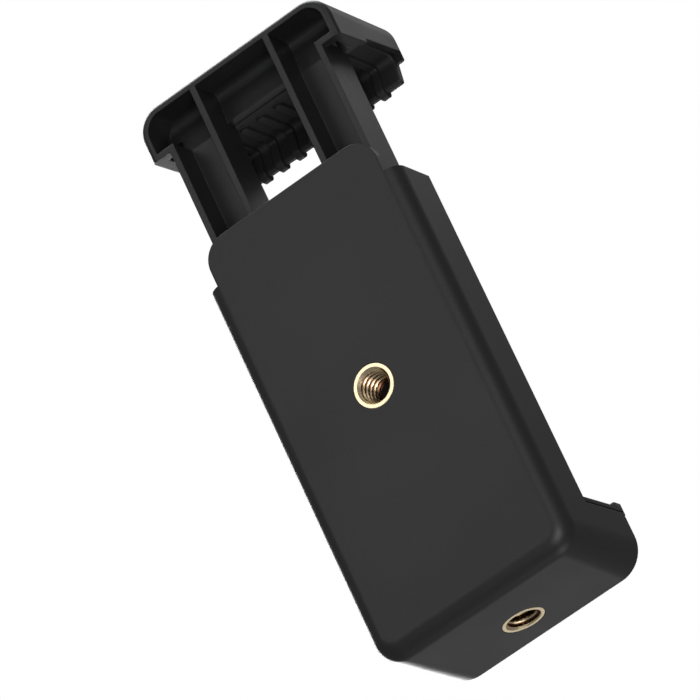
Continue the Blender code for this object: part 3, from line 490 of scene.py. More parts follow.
# %% Booleans and finishing
def new_piece(name, shape):
    bmesh.ops.recalc_face_normals(shape, faces=shape.faces)
    mesh = bpy.data.meshes.new(name)
    shape.to_mesh(mesh)
    shape.free()
    piece = bpy.data.objects.new(name, mesh)
    bpy.context.scene.collection.objects.link(piece)
    return piece


def apply_modifiers(piece):
    """Puts the mesh with its modifiers in place of the plain one."""
    bpy.context.view_layer.update()
    changed = piece.evaluated_get(bpy.context.evaluated_depsgraph_get())
    mesh = bpy.data.meshes.new_from_object(changed)
    piece.modifiers.clear()
    plain = piece.data
    piece.data = mesh
    bpy.data.meshes.remove(plain)


def combine(piece, shape, operation, overlapping=False):
    """DIFFERENCE cuts with the shape, UNION joins it on, INTERSECT keeps what both hold."""
    other = new_piece("other", shape)
    modifier = piece.modifiers.new("combine", "BOOLEAN")
    modifier.operation = operation
    modifier.object = other
    modifier.solver = "EXACT"
    modifier.use_self = overlapping
    apply_modifiers(piece)
    bpy.data.objects.remove(other, do_unlink=True)


def shade(piece, sharp_degrees):
    """Smooth shading, but for edges that turn by more than the angle."""
    piece.data.shade_smooth()
    piece.data.set_sharp_from_angle(angle=math.radians(sharp_degrees))


def smooth_but_flat(piece):
    """Merges flat neighbours and gives normals that keep the flats flat beside the roundings."""
    shape = bmesh.new()
    shape.from_mesh(piece.data)
    bmesh.ops.remove_doubles(shape, verts=shape.verts, dist=1e-6)
    bmesh.ops.dissolve_limit(shape, angle_limit=math.radians(0.3), verts=shape.verts, edges=shape.edges)
    shape.to_mesh(piece.data)
    shape.free()
    shade(piece, 35)
    modifier = piece.modifiers.new("normals", "WEIGHTED_NORMAL")
    modifier.keep_sharp = True
    apply_modifiers(piece)


def put_in_place(piece, material, slot, body, *solids):
    """Gives a piece its finish and its body, and lets it stand for its solids."""
    piece.data.materials.clear()
    piece.data.materials.append(material)
    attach(piece, body)
    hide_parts(*solids)
    print(piece.name, "has", len(piece.data.polygons), "faces")


# %% [markdown]
# The places below are measured on the solids, so that the finer pieces can't drift away from them.
# What a bounding box can't tell, such as wall thicknesses, gaps and roundings, is given as a number.

# %% Sizes of the mouldings
HOUSING_LOW, HOUSING_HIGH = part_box("main_housing")
JAW_LOW, JAW_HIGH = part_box("sliding_jaw")
COVER_LOW, COVER_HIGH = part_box("front_cover")
BACK, FRONT = HOUSING_LOW.y, HOUSING_HIGH.y
HALF_WIDTH = HOUSING_HIGH.x
TONGUE_TOP = HOUSING_HIGH.z
BODY_FRONT = COVER_LOW.y - 0.0003
BODY_TOP = COVER_HIGH.z + 0.0021
COVER_BOTTOM = COVER_LOW.z
WALL = 0.0018
FLOOR = 0.0020
EDGE_ROUND = 0.0032
FRONT_ROUND = 0.0009
FOOT_CORNER_BACK = 0.0050
FOOT_CORNER_FRONT = 0.0056
TONGUE_HALF_WIDTH = HALF_WIDTH - 0.0026
TONGUE_CORNER = 0.0048
SHELF_TOP = 0.0098
SHELF_SLOPE = 0.035
HOOK_DEPTH = 0.0007
HOOK_DROP = 0.0006
SEAT_GAP = 0.0003
SLIDE_GAP = 0.00035
BOSS_RADIUS = 0.0060       # of the plastic round a brass insert
INNER_BACK = BACK + WALL
INNER_HALF_WIDTH = HALF_WIDTH - WALL
LEG_BACK = BACK + 0.00305
LEG_FRONT = BODY_FRONT - SEAT_GAP
WEB_BACK = LEG_FRONT - 0.0023
LEG_INNER = 0.00765
LEG_OUTER = 0.01715
LEG_WALL = 0.0012
LEG_MIDDLE = (LEG_INNER + LEG_OUTER) / 2
LEG_BOTTOM = JAW_LOW.z
print("body front and top, mm:", round(BODY_FRONT * 1000, 2), round(BODY_TOP * 1000, 2))
print("legs, mm:", round(LEG_BACK * 1000, 2), "to", round(LEG_FRONT * 1000, 2))

# %% [markdown]
# The housing's back is a flat sheet that turns round into the sides and the foot with one soft
# radius. Above the side walls it stands on alone, as a tongue. In front, everything above the shelf
# of the lower jaw is cut away.

# %% Housing block
def shelf_z(y):
    return SHELF_TOP + SHELF_SLOPE * (y - BODY_FRONT)


def housing_block():
    top = TONGUE_TOP + OVERLAP
    sections = []
    for depth, inset in edge_rounding(EDGE_ROUND):
        corner = FOOT_CORNER_BACK - inset
        sections.append((BACK + depth, rounded_outline(HALF_WIDTH - inset, inset, top, corner, SHARP)))
    sections.append((BODY_FRONT, rounded_outline(HALF_WIDTH, 0.0, top, FOOT_CORNER_BACK, SHARP)))
    for depth, inset in reversed(edge_rounding(FRONT_ROUND, 5)):
        corner = FOOT_CORNER_FRONT - inset
        sections.append((FRONT - depth, rounded_outline(HALF_WIDTH - inset, inset, top, corner, SHARP)))
    return loft(sections)


def space_before_body():
    hook = FRONT - HOOK_DEPTH
    lowered = shelf_z(hook) - HOOK_DROP - SEAT_GAP
    roof = TONGUE_TOP + PAST
    outline = [(BODY_FRONT, roof), (BODY_FRONT, SHELF_TOP), (hook, shelf_z(hook)), (hook, lowered)]
    outline += [(FRONT + PAST, lowered), (FRONT + PAST, roof)]
    return prism(outline, -HALF_WIDTH - PAST, HALF_WIDTH + PAST, side_view)


def space_round_tongue():
    centre = (TONGUE_HALF_WIDTH - TONGUE_CORNER, TONGUE_TOP - TONGUE_CORNER)
    right = [(HALF_WIDTH + PAST, BODY_TOP), (TONGUE_HALF_WIDTH, BODY_TOP)]
    right += arc(centre, TONGUE_CORNER, 0, 90)
    outline = right + [(-x, z) for x, z in reversed(right)]
    outline += [(-HALF_WIDTH - PAST, TONGUE_TOP + PAST), (HALF_WIDTH + PAST, TONGUE_TOP + PAST)]
    return prism(outline, BACK - PAST, FRONT + PAST, back_view)


def wall_up_to_cover():
    low = (-HALF_WIDTH, BODY_FRONT - WALL, SHELF_TOP - OVERLAP)
    return single_box(low, (HALF_WIDTH, BODY_FRONT, COVER_BOTTOM))


housing = new_piece("moulded_housing", housing_block())
combine(housing, space_before_body(), "DIFFERENCE")
combine(housing, wall_up_to_cover(), "UNION")
combine(housing, space_round_tongue(), "DIFFERENCE")
print("housing block faces:", len(housing.data.polygons))

# %% [markdown]
# Inside, the housing is a deep box that the jaw's legs slide in. It is open at the front, where the
# cover goes, and the lower jaw is cored out from above, as thick plastic would sink while it cools.

# %% Housing hollow
def hollow_for_legs():
    radius = FOOT_CORNER_BACK - WALL
    outline = rounded_outline(INNER_HALF_WIDTH, FLOOR, TONGUE_TOP + PAST, radius, radius)
    return loft([(INNER_BACK, outline), (BODY_FRONT - WALL, outline)])


def open_front_and_top():
    side = INNER_HALF_WIDTH - SEAT_GAP
    return single_box((-side, LEG_BACK, COVER_BOTTOM), (side, FRONT + PAST, TONGUE_TOP + PAST))


def space_before_tongue():
    side = HALF_WIDTH + PAST
    return single_box((-side, INNER_BACK, BODY_TOP), (side, FRONT + PAST, TONGUE_TOP + PAST))


def shelf_pockets():
    inner = BOSS_RADIUS + WALL
    outer = HALF_WIDTH - WALL
    radius = FOOT_CORNER_FRONT - WALL
    outline = [(inner, FLOOR)] + arc((outer - radius, FLOOR + radius), radius, -90, 0)
    outline += [(outer, SHELF_TOP + PAST), (inner, SHELF_TOP + PAST)]
    shape = bmesh.new()
    for side in (1, -1):
        mirrored = [(side * x, z) for x, z in outline]
        add_prism(shape, mirrored, BODY_FRONT + SEAT_GAP, FRONT - WALL, back_view)
    return shape


for cutter in (hollow_for_legs(), open_front_and_top(), space_before_tongue(), shelf_pockets()):
    combine(housing, cutter, "DIFFERENCE")
print("hollow housing faces:", len(housing.data.polygons))

# %% [markdown]
# Walls and rails inside guide the legs, and round bosses carry the brass insert, the cover's screws
# and the pins of the springs. The two insert holes are cut last. Brass inserts are pressed in hot, so
# the plastic flows up to them and hardly a gap is seen round the ring.

# %% Housing guides, bosses and holes
INSERT_RADIUS = 0.0040
POCKET = 0.0083
BACK_INSERT_Z = (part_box("back_insert")[0].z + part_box("back_insert")[1].z) / 2
BOTTOM_INSERT_Y = (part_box("bottom_insert")[0].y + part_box("bottom_insert")[1].y) / 2
HOUSING_PIN_Z = (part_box("left_housing_pin")[0].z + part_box("left_housing_pin")[1].z) / 2
LEG_PIN_Z = (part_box("left_leg_pin")[0].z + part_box("left_leg_pin")[1].z) / 2
PIN_RADIUS = 0.0010
PRESS_GAP = 0.00003        # between a pressed insert and its hole
POCKET_END = 0.0012        # plastic beyond the insert's blind pocket
WALL_BITE = 0.0004         # how far a guide runs into the walls it stands on
GUIDE_BOTTOM = LEG_BOTTOM + 0.0043    # just above the jaw's lugs, which it stops
GUIDE_TOP = BODY_TOP - 0.0018
RAIL_TOP = BODY_TOP - 0.0020
RAIL_WIDTH = 0.0012
SCREW_BOSS_RADIUS = 0.0025
SCREW_HOLE_RADIUS = 0.0013
SCREW_HOLE_DEPTH = 0.0082
PIN_BOSS_RADIUS = 0.0022
PIN_BOSS_HEIGHT = 0.0008
PIN_SEAT_DEPTH = 0.0014
SCREW_NAMES = ("lower_left_screw", "lower_right_screw", "upper_left_screw", "upper_right_screw")


def middle_of(node):
    node_low, node_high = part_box(node)
    return (node_low + node_high) / 2


SCREW_PLACES = [(middle_of(name).x, middle_of(name).z) for name in SCREW_NAMES]


def guides():
    shape = bmesh.new()
    for side in (1, -1):
        low = (side * (LEG_OUTER + SLIDE_GAP), INNER_BACK - WALL_BITE, GUIDE_BOTTOM)
        high = (side * (INNER_HALF_WIDTH + WALL_BITE), BODY_FRONT - SEAT_GAP, GUIDE_TOP)
        box_shape(shape, low, high)
        for edge in (LEG_INNER, LEG_OUTER - RAIL_WIDTH):
            low = (side * edge, INNER_BACK - OVERLAP, COVER_BOTTOM)
            box_shape(shape, low, (side * (edge + RAIL_WIDTH), LEG_BACK - SLIDE_GAP, RAIL_TOP))
    return shape


def bosses():
    shape = bmesh.new()
    root = INNER_BACK - OVERLAP
    insert_end = (0, BACK + POCKET + POCKET_END, BACK_INSERT_Z)
    rod_shape(shape, BOSS_RADIUS, (0, root, BACK_INSERT_Z), insert_end)
    for x, z in SCREW_PLACES:
        rod_shape(shape, SCREW_BOSS_RADIUS, (x, root, z), (x, BODY_FRONT, z), 40)
    for side in (-1, 1):
        x = side * LEG_MIDDLE
        pin_end = (x, INNER_BACK + PIN_BOSS_HEIGHT, HOUSING_PIN_Z)
        rod_shape(shape, PIN_BOSS_RADIUS, (x, root, HOUSING_PIN_Z), pin_end, 40)
    return shape


def holes():
    shape = bmesh.new()
    snug = INSERT_RADIUS + PRESS_GAP
    rod_shape(shape, snug, (0, BACK - PAST, BACK_INSERT_Z), (0, BACK + POCKET, BACK_INSERT_Z), 96)
    rod_shape(shape, snug, (0, BOTTOM_INSERT_Y, -PAST), (0, BOTTOM_INSERT_Y, POCKET), 96)
    for x, z in SCREW_PLACES:
        inner_end = (x, COVER_HIGH.y - SCREW_HOLE_DEPTH, z)
        rod_shape(shape, SCREW_HOLE_RADIUS, inner_end, (x, FRONT, z), 32)
    for side in (-1, 1):
        x = side * LEG_MIDDLE
        start = (x, INNER_BACK + PIN_BOSS_HEIGHT - PIN_SEAT_DEPTH, HOUSING_PIN_Z)
        rod_shape(shape, PIN_RADIUS + SEAT_GAP, start, (x, LEG_FRONT, HOUSING_PIN_Z), 32)
    return shape


combine(housing, guides(), "UNION")
combine(housing, bosses(), "UNION")
combine(housing, holes(), "DIFFERENCE")
smooth_but_flat(housing)
put_in_place(housing, plastic, "shell_plastic", "housing", "main_housing")

# %% [markdown]
# The front cover is a plain plate with softened front edges. Its four screw heads sit in round seats.
# It faces the phone, so it has to be flat, and it holds the legs in from the front.

# %% Front cover
COVER_ROUND = 0.0006
SCREW_SEAT_RADIUS = 0.0022
SCREW_SEAT_DEPTH = 0.0012


def cover_plate():
    shape = single_box(COVER_LOW, COVER_HIGH)
    front = COVER_LOW.y + SHARP
    rim = [edge for edge in shape.edges if all(corner.co.y > front for corner in edge.verts)]
    bmesh.ops.bevel(shape, geom=rim, offset=COVER_ROUND, segments=6, profile=0.5, affect="EDGES")
    return shape


def cover_holes():
    shape = bmesh.new()
    for x, z in SCREW_PLACES:
        rod_shape(shape, SCREW_HOLE_RADIUS, (x, BACK, z), (x, FRONT, z), 32)
        seat = (x, COVER_HIGH.y - SCREW_SEAT_DEPTH, z)
        rod_shape(shape, SCREW_SEAT_RADIUS, seat, (x, FRONT, z), 64)
    return shape


cover = new_piece("cover_plate", cover_plate())
combine(cover, cover_holes(), "DIFFERENCE", overlapping=True)
smooth_but_flat(cover)
put_in_place(cover, plastic, "shell_plastic", "housing", "front_cover")

# %% [markdown]
# The jaw's head is a block with rounded upper corners. Its underside rises towards the front and
# steps up where the pad begins, and the pad lies in a seat cut up into it.

# %% Jaw head
HEAD_HALF_WIDTH = JAW_HIGH.x
JAW_TOP = JAW_HIGH.z
JAW_UNDERSIDE = JAW_TOP - 0.0094
HEAD_CORNER = 0.0050
HEAD_WALL = 0.0015
HEAD_FLOOR = JAW_UNDERSIDE + 0.0011
CEILING_ROUND = 0.0018
HEAD_STEP = 0.0008
RIM_ROUND = 0.0010
HEAD_STEP_Y = BODY_FRONT + 0.0012
HEAD_LIP_WALL = 0.0009
HEAD_LIP_RISE = 0.0003
HEAD_SLOPE = 0.052         # the underside rises by this for each step forward
WALL_LEAN = 0.20           # the hollow's front wall leans forward by this for each step up
WINDOW_ROOF = JAW_UNDERSIDE + 0.00155
WINDOW_STEP_ROOF = JAW_UNDERSIDE + 0.00195
WINDOW_STEP_BACK = WEB_BACK + 0.0015
POCKETS_BACK = BODY_FRONT + 0.0044
POCKETS_SIDE = 0.0174
POCKETS_TOP = JAW_TOP - 0.0020
POCKET_RIB = 0.0012        # plastic left between two pockets
SETBACK = 0.0002
HEAD_BACK = LEG_BACK - SETBACK
GUSSET_DEPTH = 0.0005
GUSSET_HEIGHT = 0.0100
GUSSET_FRONT = LEG_FRONT + GUSSET_DEPTH
SEAT_BACK = GUSSET_FRONT + SETBACK
UPPER_LOW, UPPER_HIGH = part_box("upper_pad")
PAD_THICKNESS = 0.00105
UPPER_FACE = UPPER_HIGH.z - PAD_THICKNESS
PAD_SIDE = UPPER_HIGH.x


def head_underside(y):
    return JAW_UNDERSIDE + HEAD_SLOPE * (y - LEG_BACK)


def head_block():
    bottom = JAW_UNDERSIDE - OVERLAP
    rims = [(HEAD_BACK + depth, inset) for depth, inset in edge_rounding(RIM_ROUND, 8)]
    rims += [(FRONT - depth, inset) for depth, inset in reversed(edge_rounding(FRONT_ROUND, 6))]
    sections = []
    for y, inset in rims:
        corner = HEAD_CORNER - inset
        side = HEAD_HALF_WIDTH - inset
        sections.append((y, rounded_outline(side, bottom, JAW_TOP - inset, SHARP, corner)))
    return loft(sections)


def space_below_head():
    low = JAW_UNDERSIDE - PAST
    wall = FRONT - HEAD_LIP_WALL
    lip = JAW_UNDERSIDE + HEAD_LIP_RISE
    step = head_underside(HEAD_STEP_Y)
    outline = [(BACK - PAST, low), (FRONT + PAST, low), (FRONT + PAST, lip), (wall, lip)]
    outline += [(wall, head_underside(wall) + HEAD_STEP), (HEAD_STEP_Y, step + HEAD_STEP)]
    outline += [(HEAD_STEP_Y, step), (HEAD_BACK, JAW_UNDERSIDE), (BACK - PAST, JAW_UNDERSIDE)]
    return prism(outline, -HEAD_HALF_WIDTH - PAST, HEAD_HALF_WIDTH + PAST, side_view)


def seat_and_window():
    """The pad's seat, the window above the tongue, and the step at the window's front."""
    low = JAW_UNDERSIDE - PAST
    side = PAD_SIDE + SEAT_GAP
    high = (side, FRONT - HEAD_LIP_WALL, UPPER_HIGH.z + SEAT_GAP)
    seat = single_box((-side, SEAT_BACK, low), high)
    side = LEG_INNER + SETBACK
    front = SEAT_BACK + OVERLAP
    window = single_box((-side, BACK - PAST, low), (side, front, WINDOW_ROOF))
    step = single_box((-side, WINDOW_STEP_BACK, low), (side, front, WINDOW_STEP_ROOF))
    return seat, window, step


jaw = new_piece("moulded_jaw", head_block())
combine(jaw, space_below_head(), "DIFFERENCE")
for cutter in seat_and_window():
    combine(jaw, cutter, "DIFFERENCE")
print("jaw head faces:", len(jaw.data.polygons))

# %% [markdown]
# The head is hollow and open to the back. The hollow's front wall goes on from the webs of the legs
# and turns into the ceiling with a wide radius, and its upper corners follow the rounding outside. It
# is made as a loft seen from the back, trimmed with an outline seen from the side. Pockets core out
# the thick part in front of it.

# %% Head hollow
def hollow_side_view():
    """The front wall goes on from the legs' webs, leans forward and turns into the ceiling."""
    ceiling = JAW_TOP - HEAD_WALL
    corner_y = WEB_BACK + WALL_LEAN * (ceiling - HEAD_FLOOR)
    lean = math.atan(WALL_LEAN)
    reach = CEILING_ROUND / math.tan((math.pi / 2 - lean) / 2)
    centre = (corner_y - reach, ceiling - CEILING_ROUND)
    profile = [(BACK - PAST, HEAD_FLOOR), (WEB_BACK, HEAD_FLOOR)]
    profile += arc(centre, CEILING_ROUND, -math.degrees(lean), 90)
    return profile + [(centre[0], ceiling + OVERLAP), (BACK - PAST, ceiling + OVERLAP)]


def hollow_shape():
    side = HEAD_HALF_WIDTH - HEAD_WALL
    radius = HEAD_CORNER - HEAD_WALL
    outline = rounded_outline(side, HEAD_FLOOR - OVERLAP, JAW_TOP - HEAD_WALL, SHARP, radius)
    hollow = new_piece("hollow", loft([(BACK - PAST / 2, outline), (FRONT - HEAD_WALL, outline)]))
    trim = prism(hollow_side_view(), -HEAD_HALF_WIDTH - PAST, HEAD_HALF_WIDTH + PAST, side_view)
    combine(hollow, trim, "INTERSECT")
    shape = bmesh.new()
    shape.from_mesh(hollow.data)
    bpy.data.objects.remove(hollow, do_unlink=True)
    return shape


def core_pockets():
    shape = bmesh.new()
    pitch = (POCKETS_SIDE + POCKET_RIB / 2) / 2
    for index in range(-2, 2):
        left = index * pitch + POCKET_RIB / 2
        low = (left, POCKETS_BACK, UPPER_FACE)
        box_shape(shape, low, (left + pitch - POCKET_RIB, FRONT - HEAD_WALL, POCKETS_TOP))
    return shape


combine(jaw, hollow_shape(), "DIFFERENCE")
combine(jaw, core_pockets(), "DIFFERENCE")
print("hollow head faces:", len(jaw.data.polygons))

# %% [markdown]
# Two legs hang from the head, each a channel open to the back for its spring. Their fronts thicken in
# a hollow curve towards the head, where the load is greatest. Beside each leg the head's floor is
# left open, which is the dark hole that is seen next to the leg from below.

# %% Legs
OPENING_WIDTH = 0.0018
OPENING_BACK = HEAD_BACK + 0.0024
OPENING_FRONT = SEAT_BACK - 0.0012
OPENING_TOP = HEAD_FLOOR + 0.0030


def leg_outline():
    """A leg from the side, without its top: straight at the back, with a hollow curve in front."""
    bottom = JAW_UNDERSIDE - GUSSET_HEIGHT
    radius = (GUSSET_HEIGHT ** 2 + GUSSET_DEPTH ** 2) / (2 * GUSSET_DEPTH)
    sweep = math.degrees(math.asin(GUSSET_HEIGHT / radius))
    outline = [(HEAD_BACK, LEG_BOTTOM), (LEG_FRONT, LEG_BOTTOM)]
    return outline + arc((LEG_FRONT + radius, bottom), radius, 180, 180 - sweep, 24)


def outer_legs():
    """The web and the outer wall of each leg, up to the head's floor."""
    top = HEAD_FLOOR - SETBACK
    outline = leg_outline() + [(GUSSET_FRONT, top), (HEAD_BACK, top)]
    shape = bmesh.new()
    for side in (-1, 1):
        add_prism(shape, outline, side * (LEG_INNER + LEG_WALL / 2), side * LEG_OUTER, side_view)
    return shape


def inner_walls():
    """Each leg's inner wall, which runs on as a rib to the top of the head."""
    roof = JAW_TOP - HEAD_WALL / 2
    in_wall = WEB_BACK + 2 * SETBACK
    outline = leg_outline() + [(GUSSET_FRONT, HEAD_FLOOR - SETBACK), (in_wall, HEAD_FLOOR - SETBACK)]
    outline += [(in_wall + WALL_LEAN * (roof - HEAD_FLOOR), roof), (HEAD_BACK, roof)]
    shape = bmesh.new()
    for side in (-1, 1):
        add_prism(shape, outline, side * LEG_INNER, side * (LEG_INNER + LEG_WALL), side_view)
    return shape


def channels():
    shape = bmesh.new()
    for side in (-1, 1):
        low = (side * (LEG_INNER + LEG_WALL), BACK - PAST, LEG_BOTTOM - PAST)
        box_shape(shape, low, (side * (LEG_OUTER - LEG_WALL), WEB_BACK, HEAD_FLOOR + SETBACK))
    return shape


def floor_openings():
    shape = bmesh.new()
    for side in (-1, 1):
        low = (side * LEG_OUTER, OPENING_BACK, JAW_UNDERSIDE - OVERLAP)
        box_shape(shape, low, (side * (LEG_OUTER + OPENING_WIDTH), OPENING_FRONT, OPENING_TOP))
    return shape


combine(jaw, outer_legs(), "UNION")
combine(jaw, inner_walls(), "UNION")
combine(jaw, channels(), "DIFFERENCE")
combine(jaw, floor_openings(), "DIFFERENCE")
print("jaw faces with legs:", len(jaw.data.polygons))

# %% [markdown]
# Inside the housing, lugs beside the legs' ends stop the jaw from coming out, and each web carries a
# boss with the pin that its spring pulls on.

# %% Lugs and pin bosses
LUG_TOP = LEG_BOTTOM + 0.0040
LEG_BOSS_FRONT = LEG_FRONT - 0.00095
LEG_PIN_SEAT_DEPTH = 0.0006


def lugs():
    shape = bmesh.new()
    tip = INNER_HALF_WIDTH - SEAT_GAP - SLIDE_GAP
    for side in (-1, 1):
        low = (side * (LEG_OUTER - LEG_WALL / 2), LEG_BACK + SETBACK, LEG_BOTTOM + SETBACK)
        box_shape(shape, low, (side * tip, LEG_FRONT - SETBACK, LUG_TOP))
        x = side * LEG_MIDDLE
        start = (x, WEB_BACK - PIN_BOSS_HEIGHT, LEG_PIN_Z)
        rod_shape(shape, PIN_BOSS_RADIUS, start, (x, LEG_BOSS_FRONT, LEG_PIN_Z), 40)
    return shape


def leg_pin_holes():
    shape = bmesh.new()
    for side in (-1, 1):
        x = side * LEG_MIDDLE
        end = (x, WEB_BACK + LEG_PIN_SEAT_DEPTH, LEG_PIN_Z)
        rod_shape(shape, PIN_RADIUS + SEAT_GAP, (x, LEG_BACK, LEG_PIN_Z), end, 32)
    return shape


combine(jaw, lugs(), "UNION")
combine(jaw, leg_pin_holes(), "DIFFERENCE")
smooth_but_flat(jaw)
put_in_place(jaw, plastic, "shell_plastic", "jaw", "sliding_jaw")

# %% [markdown]
# The rubber pads are sheets that turn into a lip at the front, with low soft ribs that run along the
# face, round the turn and over the lip. Each is one closed grid: a row of points round the pad's
# section, repeated along its width, and raised where a rib runs. Joining bars on with Booleans would
# leave hard edges, but moulded rubber has none.

# %% Pad grids
RIB_PITCH = 0.00384
RIB_HALF = 0.00085
RIB_HEIGHT = 0.00065
RIB_SOFT = 0.00030         # width over which a rib's flank rises
RIBS = [index * RIB_PITCH for index in range(-4, 5)]
LIP_THICKNESS = 0.0018
TIP_ROUND = 0.00055
END_ROUND = 0.00035


def smooth_step(value):
    value = min(1.0, max(0.0, value))
    return value * value * (3 - 2 * value)


def resampled(path, step):
    """Evenly spaced points along a path, with the unit normal to its right and the length so far."""
    lengths = [0.0]
    for first, second in zip(path, path[1:]):
        lengths.append(lengths[-1] + math.dist(first, second))
    count = max(2, round(lengths[-1] / step))
    points = []
    place = 0
    for index in range(count + 1):
        target = lengths[-1] * index / count
        while place < len(path) - 2 and lengths[place + 1] < target:
            place += 1
        share = (target - lengths[place]) / max(1e-12, lengths[place + 1] - lengths[place])
        (a, b), (c, d) = path[place], path[place + 1]
        points.append((a + share * (c - a), b + share * (d - b), target))
    result = []
    for index, (y, z, length) in enumerate(points):
        before = points[max(0, index - 1)]
        after = points[min(count, index + 1)]
        along = Vector((after[0] - before[0], after[1] - before[1])).normalized()
        result.append((y, z, along.y, -along.x, length))
    return result


def rib_share(x, length, start):
    """How much of a rib's height the surface has here, from 0 to 1; each rib begins in a round end."""
    nearest = min(RIBS, key=lambda rib: abs(x - rib))
    across = abs(x - nearest)
    if length < start + RIB_HALF:
        across = math.hypot(across, start + RIB_HALF - length)
    return smooth_step((RIB_HALF + RIB_SOFT / 2 - across) / RIB_SOFT)


def pad_columns(half_width, step):
    """Places along the width, closer together towards the rounded ends."""
    flat = half_width - END_ROUND
    count = round(2 * flat / step)
    inner = [-flat + 2 * flat * index / count for index in range(1, count)]
    right = [half_width - END_ROUND * (1 - math.sin(math.radians(15 * index))) for index in range(7)]
    return sorted([-x for x in right] + inner + right)


def end_inset(x, half_width):
    """How much the section shrinks near the pad's ends, along a quarter circle."""
    beyond = max(0.0, abs(x) - (half_width - END_ROUND)) / END_ROUND
    return END_ROUND * (1 - math.sqrt(max(0.0, 1 - min(1.0, beyond) ** 2)))


print("ribs, mm:", [round(rib * 1000, 2) for rib in RIBS])

# %% [markdown]
# The section of the upper pad runs forward along its face, turns down into the lip, goes round the
# tip and comes back over the top. Every column of the grid is this section, shrunk a little near the
# pad's ends to round them.

# %% Upper pad
PAD_STEP = 0.00012
UPPER_TIP = UPPER_LOW.z
UPPER_BACK = UPPER_LOW.y
LIP_FRONT = UPPER_HIGH.y
LIP_BACK = LIP_FRONT - LIP_THICKNESS
LIP_LEAN = 0.30            # how far the upper lip leans back for each step down
LIP_TOP = JAW_UNDERSIDE
UPPER_TURN = 0.0012


def lip_face(z):
    """Where the leaning inner face of the upper lip is at a height."""
    return LIP_BACK - LIP_LEAN * (LIP_TOP - z)


def upper_turn():
    """The middle of the turn from the face into the lip."""
    slant = math.hypot(1, LIP_LEAN)
    z = UPPER_FACE - UPPER_TURN
    return lip_face(z) - UPPER_TURN * slant, z


def upper_face_path():
    """From the back edge along the face, round the turn and the tip, up to the front wall."""
    lean = math.degrees(math.atan(LIP_LEAN))
    inner = lip_face(UPPER_TIP) + TIP_ROUND
    outer = lip_face(UPPER_TIP) + LIP_THICKNESS - TIP_ROUND
    path = [(UPPER_BACK, UPPER_FACE)] + arc(upper_turn(), UPPER_TURN, 90, -lean, 40)
    path += arc((inner, UPPER_TIP + TIP_ROUND), TIP_ROUND, 180 - lean, 270, 12)
    path += arc((outer, UPPER_TIP + TIP_ROUND), TIP_ROUND, 270, 360 - lean, 12)
    return path + [(LIP_FRONT, LIP_TOP)]


def upper_return_path():
    """Back over the pad's top, which is hidden in its seat."""
    ahead = FRONT - HEAD_LIP_WALL - SEAT_GAP
    top = UPPER_HIGH.z
    front = [(LIP_FRONT, LIP_TOP), (ahead, LIP_TOP), (ahead, top)]
    return front + [(UPPER_BACK, top), (UPPER_BACK, UPPER_FACE)]


def pad_grid(face_path, return_path, half_width, start, inward, cut_height=None):
    """One closed grid; inward is 1 or -1, the side of the path that the pad's rubber lies on.
    A layer named flank is high on the ribs' steep sides."""
    face = resampled(face_path, PAD_STEP)
    back = [(y, z, 0.0, 0.0, None) for y, z in return_path[1:-1]]
    section = face + back
    middle_y = sum(row[0] for row in section) / len(section)
    shape = bmesh.new()
    flank_layer = shape.verts.layers.float.new("flank")
    columns = []
    for x in pad_columns(half_width, PAD_STEP):
        inset = end_inset(x, half_width)
        column = []
        for y, z, normal_y, normal_z, length in section:
            share = rib_share(x, length, start) if length is not None and inset < END_ROUND / 4 else 0.0
            depth = (inset if length is not None else 0.0) - RIB_HEIGHT * share
            place_y = min(LIP_FRONT, y + inward * normal_y * depth)
            place_z = z + inward * normal_z * depth
            if length is None:
                place_y += inset * (1 if middle_y > y else -1) * 0.5
            if cut_height is not None:
                place_z = lowered(place_z, cut_height(x))
            corner = shape.verts.new((x, place_y, place_z))
            # The flank layer carries the rubber's painted shade on the ribs' sides.
            corner[flank_layer] = 4 * share * (1 - share)
            column.append(corner)
        columns.append(column)
    for first, second in zip(columns, columns[1:]):
        skin(shape, first, second)
    shape.faces.new(columns[0])
    shape.faces.new(columns[-1])
    return shape


def lowered(z, height, soft=0.0003):
    """The lower of two heights, with a soft change between them."""
    share = min(1.0, max(0.0, 0.5 + 0.5 * (height - z) / soft))
    return height * (1 - share) + z * share - soft * share * (1 - share)


RIB_START = 0.17           # share of a pad's flat part before its ribs begin
upper_start = RIB_START * (upper_turn()[0] - UPPER_BACK)
upper_shape = pad_grid(upper_face_path(), upper_return_path(), PAD_SIDE, upper_start, -1)
upper_pad = new_piece("rubber_upper_pad", upper_shape)
shade(upper_pad, 50)
put_in_place(upper_pad, rubber, "pad_rubber", "jaw", "upper_pad")

# %% [markdown]
# The lower pad is the same kind of sheet, turned up at the front. Its lip stands at full height in
# the middle and slopes down towards the ends, where only a low ridge is left; a soft minimum of two
# heights cuts the section there. In front, the sheet hooks down over the edge of the shelf.

# %% Lower pad
LOWER_LOW, LOWER_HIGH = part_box("lower_pad")
LOWER_SIDE = LOWER_HIGH.x
LOWER_BACK = LOWER_LOW.y
LOWER_TIP = LOWER_HIGH.z
LOWER_TURN = 0.0032
SLOPE_TOP = HALF_WIDTH - 0.0061       # where the lip leaves its full height
SLOPE_FOOT = HALF_WIDTH - 0.0021      # from here on only the ridge is left
RIDGE_HEIGHT = 0.0006
UNCUT = LOWER_TIP + 0.0010            # a height that cuts nothing off


def lower_pad_bottom(y):
    return shelf_z(y) + SEAT_GAP


def lower_face(y):
    return lower_pad_bottom(y) + PAD_THICKNESS


